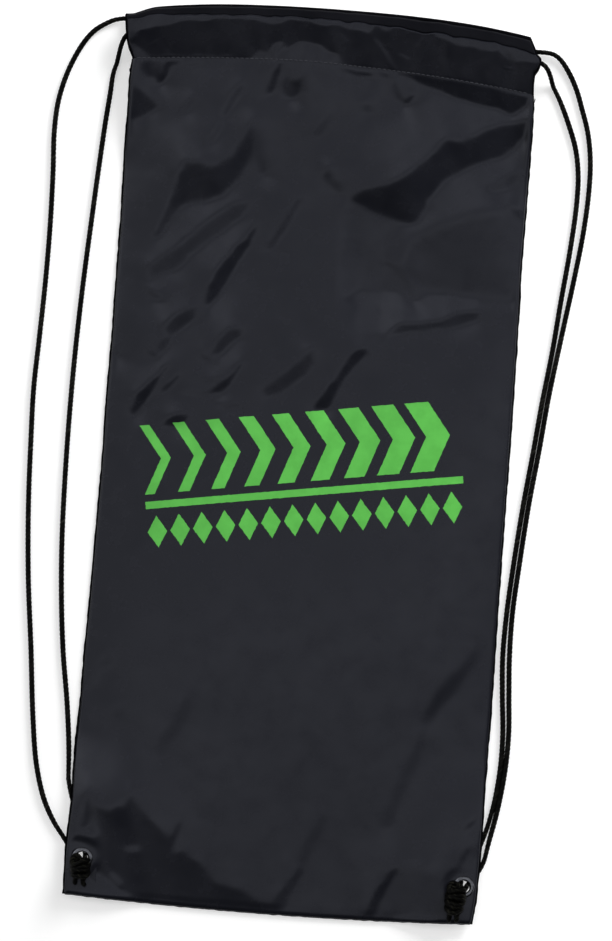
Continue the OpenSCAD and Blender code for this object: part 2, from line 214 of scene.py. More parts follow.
class Finish(Wiring):
    """A material with its nodes at hand"""

    def __init__(self, name, roughness=0.5, specular=0.5, metallic=0.0, sheen=0.0):
        self.material = bpy.data.materials.new(name)
        self.material.use_nodes = True
        super().__init__(self.material.node_tree)
        self.shader = self.nodes["Principled BSDF"]
        for socket, value in (("Roughness", roughness), ("Specular IOR Level", specular),
                              ("Metallic", metallic), ("Sheen Weight", sheen),
                              ("Sheen Roughness", 0.4)):
            self.skin(socket, value)
        self.bump = None

    def skin(self, socket, value):
        self.feed(self.shader.inputs[socket], value)

    def relief(self, height, strength, depth):
        """A bump on top of those before it"""
        feeds = dict(Strength=strength, Distance=depth, Height=height)
        if self.bump is not None:
            feeds["Normal"] = self.bump
        self.bump = self.node("ShaderNodeBump", feeds).outputs[0]
        self.skin("Normal", self.bump)

    def weave(self, at, strength):
        threads = [self.wave(at, THREADS, axis) for axis in "XY"]
        self.relief(self.math("MULTIPLY", *threads), strength, FINE_BUMP)


def nylon(name, dark, light, roughness, crinkle, gleam=0.28):
    """Coated nylon: a fine plain weave, small creases and an uneven sheen"""
    cloth = Finish(name, roughness=roughness, specular=gleam)
    cloth.skin("Specular Tint", (0.84, 0.87, 1.0, 1))
    flat = cloth.place(attribute="cloth")
    patches = cloth.noise(flat, 26, 3)
    cloth.skin("Base Color", cloth.colour(cloth.ramp(patches, 0.3, 0.7), dark, light))
    cloth.skin("Roughness", cloth.ramp(cloth.noise(flat, 60, 4, 0.6), 0.25, 0.75,
                                       roughness - 0.05, roughness + 0.07))
    cloth.relief(cloth.noise(flat, 45, 4, 0.55, distortion=0.6), crinkle, 0.0016)
    creases = cloth.noise(flat, 30, 2, 0.5, kind="RIDGED_MULTIFRACTAL")
    cloth.relief(creases, crinkle * 0.25, 0.0012)
    cloth.weave(flat, 0.12)
    return cloth.material


def cord_yarn(name, glint):
    """Twisted polyester: painted glints in streaks along the plies, painted shade between them"""
    yarn = Finish(name, roughness=0.6, specular=0.06)
    lay = yarn.node("ShaderNodeAttribute", attribute_name="ply").outputs["Fac"]
    streaks = yarn.noise(yarn.place((40, 900, 900), attribute="lay"), 1.0, 3)
    # The paler streaks are painted glints on the fibres; the same noise also gives the fibres
    # their bump.
    tone = yarn.colour(yarn.ramp(streaks, 0.52, 0.74), (0.0010, 0.0010, 0.0009), glint)
    # Near black in the grooves between the plies: painted shade.
    yarn.skin("Base Color", yarn.colour(yarn.ramp(lay, 0.0, 0.75), (0.0005,) * 3, tone))
    yarn.relief(streaks, 0.5, 0.0002)
    return yarn.material


def plated_metal(name, tone, roughness):
    metal = Finish(name, roughness=roughness, metallic=1.0)
    here = metal.place()
    wear = metal.noise(here, 900, 4)
    worn = tuple(0.6 * c for c in tone)
    metal.skin("Base Color", metal.colour(metal.ramp(wear, 0.35, 0.75), tone, worn))
    metal.skin("Roughness", metal.ramp(wear, 0.3, 0.8, roughness, roughness + 0.14))
    metal.relief(metal.noise(here, 2500, 2), 0.05, FINE_BUMP)
    return metal.material


def thread_yarn(name, tone):
    thread = Finish(name, roughness=0.6, specular=0.3, sheen=0.1)
    pale = tuple(1.6 * c for c in tone)
    thread.skin("Base Color", thread.colour(thread.noise(thread.place(), 400, 2), tone, pale))
    thread.relief(thread.wave(thread.place(turn=(0, 0, 40)), 900), 0.3, FINE_BUMP)
    return thread.material


def screen_ink(name):
    """Green ink pressed into the weave, with pinholes and fine cracks"""
    ink = Finish(name, roughness=0.55, specular=0.35)
    here = ink.place()
    tone = ink.colour(ink.ramp(ink.noise(here, 90, 4), 0.3, 0.7), (0.078, 0.380, 0.054),
                      (0.094, 0.440, 0.066))
    specks = ink.ramp(ink.noise(here, 1100, 3, 0.7), 0.70, 0.76)
    cracks = ink.ramp(ink.noise(here, 300, 3, 0.6, kind="RIDGED_MULTIFRACTAL"), 1.75, 2.0)
    holes = ink.math("MAXIMUM", specks, cracks)
    ink.skin("Base Color", ink.colour(holes, tone, (0.03, 0.11, 0.03)))
    ink.weave(here, 0.15)
    ink.relief(ink.noise(here, 500, 4), 0.2, 0.0002)
    return ink.material


PANEL_NYLON = nylon("black_nylon", (0.0062, 0.0067, 0.0096), (0.0072, 0.0077, 0.0108),
                    roughness=0.24, crinkle=0.07)
CASING_NYLON = nylon("casing_nylon", (0.0056, 0.0060, 0.0086), (0.0066, 0.0070, 0.0098),
                     roughness=0.24, crinkle=0.06)
# The casing's fold is the same nylon painted darker and duller: painted shade where the cloth
# rolls over.
SHADED_FOLD_NYLON = nylon("fold_nylon_painted_shade", (0.0028, 0.0029, 0.0040), (0.0044, 0.0045, 0.0060),
                   roughness=0.45, crinkle=0.3, gleam=0.06)
# The seams and the casing rims are the bag's own nylon painted near black and without gleam:
# painted shade along the edges.
SHADED_SEAM_NYLON = nylon("seam_nylon_painted_shade", (0.0012, 0.0012, 0.0016), (0.0024, 0.0024, 0.0030),
                   roughness=0.7, crinkle=0.4, gleam=0.0)
PATCH_NYLON = nylon("patch_nylon", (0.008, 0.0085, 0.011), (0.010, 0.0105, 0.0135),
                    roughness=0.45, crinkle=0.3)
# The second colour of each yarn is its painted glint.
DRAWCORD_YARN = cord_yarn("drawcord_yarn", (0.030, 0.029, 0.024))
KNOT_YARN = cord_yarn("knot_yarn", (0.020, 0.020, 0.014))
EYELET_METAL = plated_metal("gunmetal", (0.10, 0.104, 0.118), 0.14)
WASHER_METAL = plated_metal("washer_gunmetal", (0.20, 0.205, 0.22), 0.22)
SEAM_THREAD = thread_yarn("seam_thread", (0.020, 0.021, 0.026))
TACK_THREAD = thread_yarn("tack_thread", (0.013, 0.013, 0.016))
PRINT_INK = screen_ink("green_ink")


# ---- Meshes --------------------------------------------------------------------------------

def smooth(t):
    c = np.clip(t, 0.0, 1.0)
    return c * c * (3.0 - 2.0 * c)


def mix(a, b, t):
    return a + (b - a) * t


class Noise:
    """Smooth noise over the plane, about -1 to 1, the same in each run"""

    def __init__(self, seed, cell):
        self.turn = np.random.RandomState(seed).rand(64, 64) * 2 * math.pi
        self.cell = cell

    def __call__(self, x, y):
        u, v = np.asarray(x, float) / self.cell, np.asarray(y, float) / self.cell
        i, j = np.floor(u).astype(int), np.floor(v).astype(int)
        fu, fv = u - i, v - j

        def corner(a, b):
            turn = self.turn[(i + a) % 64, (j + b) % 64]
            return np.cos(turn) * (fu - a) + np.sin(turn) * (fv - b)

        su, sv = smooth(fu), smooth(fv)
        return 1.5 * mix(mix(corner(0, 0), corner(1, 0), su),
                         mix(corner(0, 1), corner(1, 1), su), sv)


def new_piece(name, points, faces, material, slot, body=BAG):
    """A mesh piece in metres, shaded smooth. body None leaves it without a body."""
    mesh = bpy.data.meshes.new(name)
    mesh.from_pydata(np.asarray(points) * MM, [], [list(f) for f in faces])
    mesh.polygons.foreach_set("use_smooth", np.ones(len(mesh.polygons), bool))
    mesh.materials.append(material)
    mesh.update()
    piece = bpy.data.objects.new(name, mesh)
    bpy.context.scene.collection.objects.link(piece)
    if body:
        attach(piece, body)
    return piece


def gather(parts):
    """One mesh from several: their points and faces"""
    points, faces, base = [], [], 0
    for some, cells in parts:
        points.append(some)
        faces += [[v + base for v in cell] for cell in cells]
        base += len(some)
    return np.vstack(points), faces


def path_lengths(line):
    """How far along the line each of its points is"""
    return np.concatenate([[0], np.cumsum(np.linalg.norm(np.diff(line, axis=0), axis=1))])


def note(piece, name, values):
    """Keeps a value or a vector at each vertex for the materials"""
    values = np.asarray(values, np.float32)
    if values.ndim == 1:
        piece.data.attributes.new(name, "FLOAT", "POINT").data.foreach_set("value", values)
    else:
        piece.data.attributes.new(name, "FLOAT_VECTOR", "POINT").data.foreach_set(
            "vector", values.ravel())


def shell(outer, inner, keep=None):
    """Points and faces of a closed cloth: two grids, walls round every edge.
    keep says which cells are there."""
    rows, cols = outer.shape[:2]
    if keep is None:
        keep = np.ones((rows - 1, cols - 1), bool)
    index = np.arange(rows * cols).reshape(rows, cols)
    a, b, c, d = index[:-1, :-1], index[:-1, 1:], index[1:, 1:], index[1:, :-1]
    layer = rows * cols
    top = np.stack([a, b, c, d], -1)[keep]
    faces = [top, top[:, ::-1] + layer]
    padded = np.pad(keep, 1)
    for p, q, beyond in ((a, b, padded[:-2, 1:-1]), (b, c, padded[1:-1, 2:]),
                         (c, d, padded[2:, 1:-1]), (d, a, padded[1:-1, :-2])):
        rim = keep & ~beyond
        p, q = p[rim], q[rim]
        faces.append(np.stack([p + layer, q + layer, q, p], -1))
    faces = np.vstack(faces)
    points = np.vstack([outer.reshape(-1, 3), inner.reshape(-1, 3)])
    used, inverse = np.unique(faces, return_inverse=True)
    return points[used], inverse.reshape(faces.shape), used % layer


def cloth_piece(name, outer, inner, flat, material, slot, keep=None):
    """flat holds the place of each grid point on the uncut cloth. The cut edges stay sharp."""
    points, faces, source = shell(outer, inner, keep)
    piece = new_piece(name, points, faces, material, slot)
    cells = (outer.shape[0] - 1) * (outer.shape[1] - 1) if keep is None else int(keep.sum())
    piece.data.polygons.foreach_set("use_smooth", np.arange(len(faces)) < 2 * cells)
    spread = np.concatenate([flat * MM, np.zeros((*flat.shape[:2], 1))], -1)
    note(piece, "cloth", spread.reshape(-1, 3)[source])
    return piece


# ---- Cords ---------------------------------------------------------------------------------

CORD_R = 1.7
BACK_AXIS, FRONT_AXIS = 2.8, 13.2
PLY_PITCH = 9.0
STRAND_R = 1.9            # the free strands are not pressed flat


def through(points, step=0.8):
    """A smooth line through the points, in equal steps"""
    p = np.array(points, float)
    p = np.vstack([2 * p[0] - p[1], p, 2 * p[-1] - p[-2]])
    line = []
    for quad in zip(p[:-3], p[1:-2], p[2:-1], p[3:]):
        gaps = [np.linalg.norm(b - a) ** 0.5 for a, b in zip(quad, quad[1:])]
        knots = np.cumsum([0.0] + gaps)
        t = np.linspace(knots[1], knots[2], 20, endpoint=False)[:, None]
        level = list(quad)
        for reach in (1, 2):
            level = [mix(level[k], level[k + 1], (t - knots[k]) / (knots[k + reach] - knots[k]))
                     for k in range(4 - reach)]
        line.append(mix(*level, (t - knots[1]) / gaps[1]))
    line = np.vstack(line + [p[-2][None]])
    run = path_lengths(line)
    even = np.linspace(0, run[-1], max(8, int(round(run[-1] / step)) + 1))
    return np.stack([np.interp(even, run, line[:, k]) for k in range(3)], -1)


def frames(line):
    """Tangents of a line and a side direction carried along without twist"""
    tangent = np.gradient(line, axis=0)
    tangent /= np.linalg.norm(tangent, axis=1)[:, None]
    side = np.cross(tangent[0], [0.31, 0.17, 0.94] if abs(tangent[0][2]) < 0.9 else [1, 0, 0])
    sides = []
    for t in tangent:
        side = side - t * (side @ t)
        side /= np.linalg.norm(side)
        sides.append(side)
    return tangent, np.array(sides)


def rope(line, radius=CORD_R, around=15, plies=3, depth=0.2, start_turn=0.0, ends=1.0):
    """Points, faces, and at each point its place on the lay and on its ply. ends is the share
    of the radius that is left at both ends, where the cord is pressed."""
    tangent, side = frames(line)
    other = np.cross(tangent, side)
    run = path_lengths(line)
    cap = np.radians([75, 50, 25])
    centres = np.vstack([line[0] - tangent[0] * radius * np.sin(cap)[:, None], line,
                         line[-1] + tangent[-1] * radius * np.sin(cap[::-1])[:, None]])
    first, last = np.zeros(3, int), np.full(3, len(line) - 1)
    which = np.concatenate([first, np.arange(len(line)), last])
    free = smooth(run / 25) * smooth((run[-1] - run) / 25)
    scale = np.concatenate([np.cos(cap), np.ones(len(line)), np.cos(cap[::-1])])
    scale *= mix(ends, 1.0, free)[which]
    angle = np.arange(around) * 2 * math.pi / around
    turned = angle[None, :] - (2 * math.pi * run[which] / PLY_PITCH + start_turn)[:, None]
    lobe = np.abs(np.cos(plies / 2 * turned)) ** 0.7
    r = radius * scale[:, None] * (1 - depth * (1 - lobe))
    rings = centres[:, None] + r[..., None] * (
        np.cos(angle)[None, :, None] * side[which][:, None]
        + np.sin(angle)[None, :, None] * other[which][:, None])
    count = len(which)
    points = np.vstack([rings.reshape(-1, 3), line[0] - tangent[0] * radius,
                        line[-1] + tangent[-1] * radius])
    index = np.arange(count * around).reshape(count, around)
    ahead = np.roll(index, -1, axis=1)
    quads = np.stack([index[:-1], ahead[:-1], ahead[1:], index[1:]], -1).reshape(-1, 4)
    tail, head = count * around, count * around + 1
    faces = [list(q) for q in quads]
    faces += [[tail, b, a] for a, b in zip(index[0], ahead[0])]
    faces += [[head, a, b] for a, b in zip(index[-1], ahead[-1])]
    lay = np.stack([np.broadcast_to(run[which][:, None], turned.shape), CORD_R * np.cos(turned),
                    CORD_R * np.sin(turned)], -1).reshape(-1, 3)
    lay = np.vstack([lay, lay[:1], lay[-1:]]) * MM
    return points, faces, lay, np.concatenate([lobe.ravel(), [0.8, 0.8]])


def cord_piece(name, lines, material, slot, body=BAG, **shape):
    """One piece from one or more lines of cord"""
    made = [rope(line, start_turn=1.3 * k, **shape) for k, line in enumerate(lines)]
    piece = new_piece(name, *gather(cord[:2] for cord in made), material, slot, body)
    note(piece, "lay", np.vstack([cord[2] for cord in made]))
    note(piece, "ply", np.concatenate([cord[3] for cord in made]))
    return piece


TABLE_Z = CORD_R


def on_table(*route):
    """Points that lie on the table unless they give another height"""
    return [(*point, TABLE_Z)[:3] for point in route]


STRANDS = {
    "left_outer": on_table(
        (-148, 297, BACK_AXIS), (-154, 295.5, 2.6), (-160, 292.5, 2.2), (-167, 287.5),
        (-173, 280), (-179.7, 267), (-185, 252), (-188.5, 235), (-189.5, 215), (-188, 185),
        (-187, 150), (-187, 110), (-188, 70), (-189, 35), (-188, 0), (-186, -45), (-182, -95),
        (-176, -145), (-171, -190), (-166, -222), (-159, -245), (-151, -260), (-143.5, -270)),
    "left_inner": on_table(
        (-150, 266), (-152, 258), (-153, 244), (-154.8, 222), (-156.8, 190), (-159, 150),
        (-161, 110), (-162.5, 65), (-163, 20), (-162.5, -25), (-161, -70), (-158, -110),
        (-154, -145), (-148.7, -178), (-145, -208), (-143.5, -230)),
    "right_outer": on_table(
        (147, 295, BACK_AXIS), (152, 294, 2.6), (157, 290.5, 2.2), (163, 282.5), (169, 271),
        (174, 257), (179, 241), (182, 222), (182.5, 200), (180.5, 170), (176, 135), (170.1, 95),
        (164.5, 55), (160.5, 18), (156, -20), (152.5, -60), (150, -95), (150, -125),
        (151.5, -152), (153.1, -178), (152.3, -203), (149.0, -230), (144.9, -251),
        (142.6, -264)),
    "right_inner": on_table(
        (153.2, 271), (158.2, 262), (165.3, 246), (171.3, 229), (174.3, 211), (174.6, 190),
        (172.3, 158), (168.4, 122), (164.8, 86), (160.2, 50), (156.4, 15), (152.1, -22),
        (148.6, -60), (146.1, -95), (145.4, -125), (147, -152), (149.1, -178), (149.1, -200),
        (147.0, -222), (143.5, -240)),
}
BACK_RUN = [STRANDS["left_outer"][0], (-142, 297, BACK_AXIS), (142, 295, BACK_AXIS),
            STRANDS["right_outer"][0]]
FRONT_RUN = [STRANDS["left_inner"][0], (-149.5, 269, 3), (-148.7, 272.5, 6), (-147.8, 276, 9),
             (-146.5, 279.5, 11.6), (-144.5, 282.8, 12.9), (-141, 285, 12.7),
             (-132, 286, 12.6), (132, 286, 12.6), (141.5, 285.5, 12.6), (145, 284, 12.2),
             (147.8, 281.3, 10.8), (149.6, 278.6, 8), (151, 276, 5), (152, 273.6, 2.8),
             STRANDS["right_inner"][0]]
LEADS = {
    "left_outer": [(-143.5, -270), (-140.5, -274), (-137.5, -277.8)],
    "left_inner": [(-143.5, -230), (-141.5, -238), (-137.5, -250), (-132.5, -263),
                   (-128.8, -273)],
    "right_outer": [(142.6, -264), (140.2, -270), (136, -276.5)],
    "right_inner": [(143.5, -240), (140.9, -249), (137.2, -259), (130, -269), (128, -275)],
}
EYELET_Y = -283.0
EYELETS = {"left": (-129.5, EYELET_Y), "right": (129.5, EYELET_Y)}
PAIR_X = 1.8
BEND_R = 4.0
FLANGE_TOP = 9.2


def make_strands():
    for name, route in STRANDS.items():
        line = through(route)
        body = f"{name}_strand"
        piece = cord_piece(f"{name}_strand_cord", [line], DRAWCORD_YARN, "drawcord", body,
                           radius=STRAND_R, ends=0.87)
        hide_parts(body)


def make_runs():
    for name, route in (("back", BACK_RUN), ("front", FRONT_RUN)):
        piece = cord_piece(f"{name}_casing_cord", [through(route)], DRAWCORD_YARN, "drawcord")
        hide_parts(f"{name}_cord_run")


def make_leads():
    """Each lead turns up through its eyelet, and is left without a body"""
    for name, plan in LEADS.items():
        side, which = name.split("_")
        eye_x, eye_y = EYELETS[side]
        outward = -1 if side == "left" else 1
        x = eye_x + (outward if which == "outer" else -outward) * PAIR_X
        foot = np.array(plan[-1])
        ahead = np.array([x, eye_y]) - foot
        ahead /= np.linalg.norm(ahead)
        route = on_table(*plan)
        for a in np.radians([0, 30, 60, 90]):
            px, py = np.array([x, eye_y]) - ahead * BEND_R * (1 - math.sin(a))
            route.append((px, py, TABLE_Z + BEND_R * (1 - math.cos(a))))
        route.append((x, eye_y, FLANGE_TOP + 2.6))
        piece = cord_piece(f"{name}_lead_cord", [through(route)], DRAWCORD_YARN, "drawcord", None)
        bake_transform(piece)
        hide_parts(f"{name}_lead")


def knot_path(eye, which, barrel, turns, tail):
    """One of the two cords of a knot: up from the eyelet, round the knot's body, and out as
    a tail. barrel is the line through the middle of the body."""
    spread = (2 * which - 1) * PAIR_X
    start, end = np.array(barrel, float)
    ahead = (end - start) / np.linalg.norm(end - start)
    beside = np.array([ahead[1], -ahead[0]])
    angle = np.radians(-90) + np.linspace(0, 2 * math.pi * turns, int(16 * turns))
    share = np.linspace(0, 1, len(angle))[:, None]
    bulge = 1 + 0.16 * np.sin(math.pi * share[:, 0])
    middle = start + (end - start) * share + ahead * (which - 0.5) * KNOT_PITCH
    tilt = (2.4 * np.sin(angle + 0.6) + 0.8 * np.sin(2.3 * angle + which))[:, None] * ahead
    flat = middle + tilt + (KNOT_HALF[0] * bulge * np.cos(angle))[:, None] * beside
    z = KNOT_Z + KNOT_HALF[1] * bulge * np.sin(angle)
    foot = [(eye[0] + spread, eye[1], FLANGE_TOP + 0.5),
            (eye[0] + spread * 0.8, eye[1] - 1.2, FLANGE_TOP + 1.6)]
    return np.vstack([foot, np.column_stack([flat, z])[1:], tail])


KNOT_PITCH, KNOT_HALF, KNOT_Z = 3.5, (5.0, 2.9), 13.9
KNOTS = {
    "left": dict(barrel=[(-131.0, -284.0), (-129.0, -293.0)], turns=1.75, tails=(
        [(-132.6, -297.4, 12.0), (-132.8, -299.8, 10.9)],
        [(-127.6, -298.6, 11.6), (-126.6, -300.6, 10.7)])),
    "right": dict(barrel=[(124.6, -283.8), (124.0, -298.0)], turns=2.75, tails=(
        [(121.4, -302.4, 11.4), (121.2, -306.2, 10.6)],
        [(126.2, -302.6, 11.4), (126.2, -305.8, 10.6)])),
}


def make_knots():
    for side, shape in KNOTS.items():
        lines = [through(knot_path(EYELETS[side], k, shape["barrel"], shape["turns"], tail), 0.5)
                 for k, tail in enumerate(shape["tails"])]
        piece = cord_piece(f"{side}_cord_knot", lines, KNOT_YARN, "knot_cord", f"{side}_knot",
                           radius=1.65)
        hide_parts(f"{side}_knot")


# ---- Cloth ---------------------------------------------------------------------------------

HALF_W = 140.0
Y_BOTTOM, Y_HEM, Y_TOP = -310.0, 271.0, 310.0
CLOTH_T, SEAM_T, CROWN_H = 0.8, 1.2, 8.0
FINE_T = 0.45             # thickness of the cloth as it is shown
STITCH_DEPTH = 0.05       # the stitches draw the cloth in this far
HEM_Z = 11.8              # outer face of the front at its stitch line
EDGE_DROP = 0.9           # the cloth rolls down this far into its seams
CUT_W = 138.9             # the front cloth ends here, and its rolled seam shows beyond

# How far the side seams sway out of line: (along the bag, outwards)
SWAY = {
    -1: [(-310, 0.8), (-293, 1.2), (-278, 1.6), (-258, 0.9), (-244, 0.2), (-207, 1.2),
         (-190, 0.5), (-172, 0.0), (-137, -0.1), (-108, -0.8), (-60, -1.2), (-25, -1.5),
         (0, -1.5), (30, -1.0), (79, -1.4), (104, -1.1), (155, -0.9), (190, -0.3),
         (207, 0.3), (242, 0.0), (256, 0.4), (271, -0.3)],
    1: [(-310, -3.0), (-306, -2.4), (-291, -1.0), (-264, -0.2), (-224, -0.2), (-169, 0.4),
        (-114, 0.4), (-53, 0.3), (9, 0.7), (79, 0.7), (120, 0.4), (140, -0.2), (191, 0.6),
        (248, 0.7), (262, 0.4), (271, -0.3)],
}
LIFT_H = 5.2
# Rings round an eyelet: the metal's edge, where the cloth is cut, how far it is drawn out,
# and the least distance that counts
EYELET_HOLE, CUT_R, EASE_R, LEAST_R = 5.2, 4.4, 9.0, 2.4
# The front cloth falls away behind this ridge: (across the bag, along it)
RIDGE = [(15, 95), (30, 80), (45, 76), (52, 84), (60, 95), (85, 101), (100, 107), (112, 110)]
RIDGE_TOP, RIDGE_SLOPE = 120, -0.125


def along(table, y):
    xs, ys = zip(*table)
    return np.interp(y, xs, ys)


def lift(x, y):
    """The corners ride up over the cords that pass under them"""
    return LIFT_H * smooth((np.abs(x) - 80) / 36) * smooth((-192 - y) / 56)


def back_face(x, y):
    """Underside of the bag"""
    return lift(x, y) + 2.4 * smooth((y - Y_HEM + 36) / 36)


def front_face(x, y):
    """Top of the bag before its folds"""
    wide = 1 - np.clip(np.abs(x) / HALF_W, 0, 1) ** 4
    low = smooth((118 - np.abs(x)) / 34)
    across = mix(wide, low, smooth((-222 - y) / 26))
    crown = (CROWN_H - lift(x, y)) * across * smooth((y + 307.6) / 230)
    face = back_face(x, y) + 2 * CLOTH_T + SEAM_T + crown
    hem = HEM_Z + 3.0 * np.exp(-((x + 22) / 30) ** 2) + 1.5 * smooth((-124 - x) / 12)
    return mix(face, hem, smooth((y - 190) / (Y_HEM - 190)))


def settle(x, y):
    """Where a point of the cut cloth lies: the mouth and the foot bow, the sides sway"""
    hem = 2.8 - 0.00045 * x ** 2 - 0.016 * x
    fold = 1.7 - 0.00030 * x ** 2 - 1.2e-8 * x ** 4
    mouth = np.where(y < Y_HEM, hem * smooth((y - 150) / (Y_HEM - 150)),
                     mix(hem, fold, np.clip((y - Y_HEM) / (Y_TOP - Y_HEM), 0, 1)))
    foot = (-1.4 + 3.5 * (x / 139) ** 2) * smooth((-292 - y) / 18)
    sway = np.where(x > 0, along(SWAY[1], y), along(SWAY[-1], y))
    return x * (1 + sway / HALF_W), y + mouth + foot


def placed(x, y, z):
    """Points of the cut cloth where they lie in the bag"""
    return np.stack([*settle(x, y), z], -1)


def unsettle(x, y):
    u, v = x, y
    for _ in range(6):
        a, b = settle(u, v)
        u, v = u + x - a, v + y - b
    return u, v


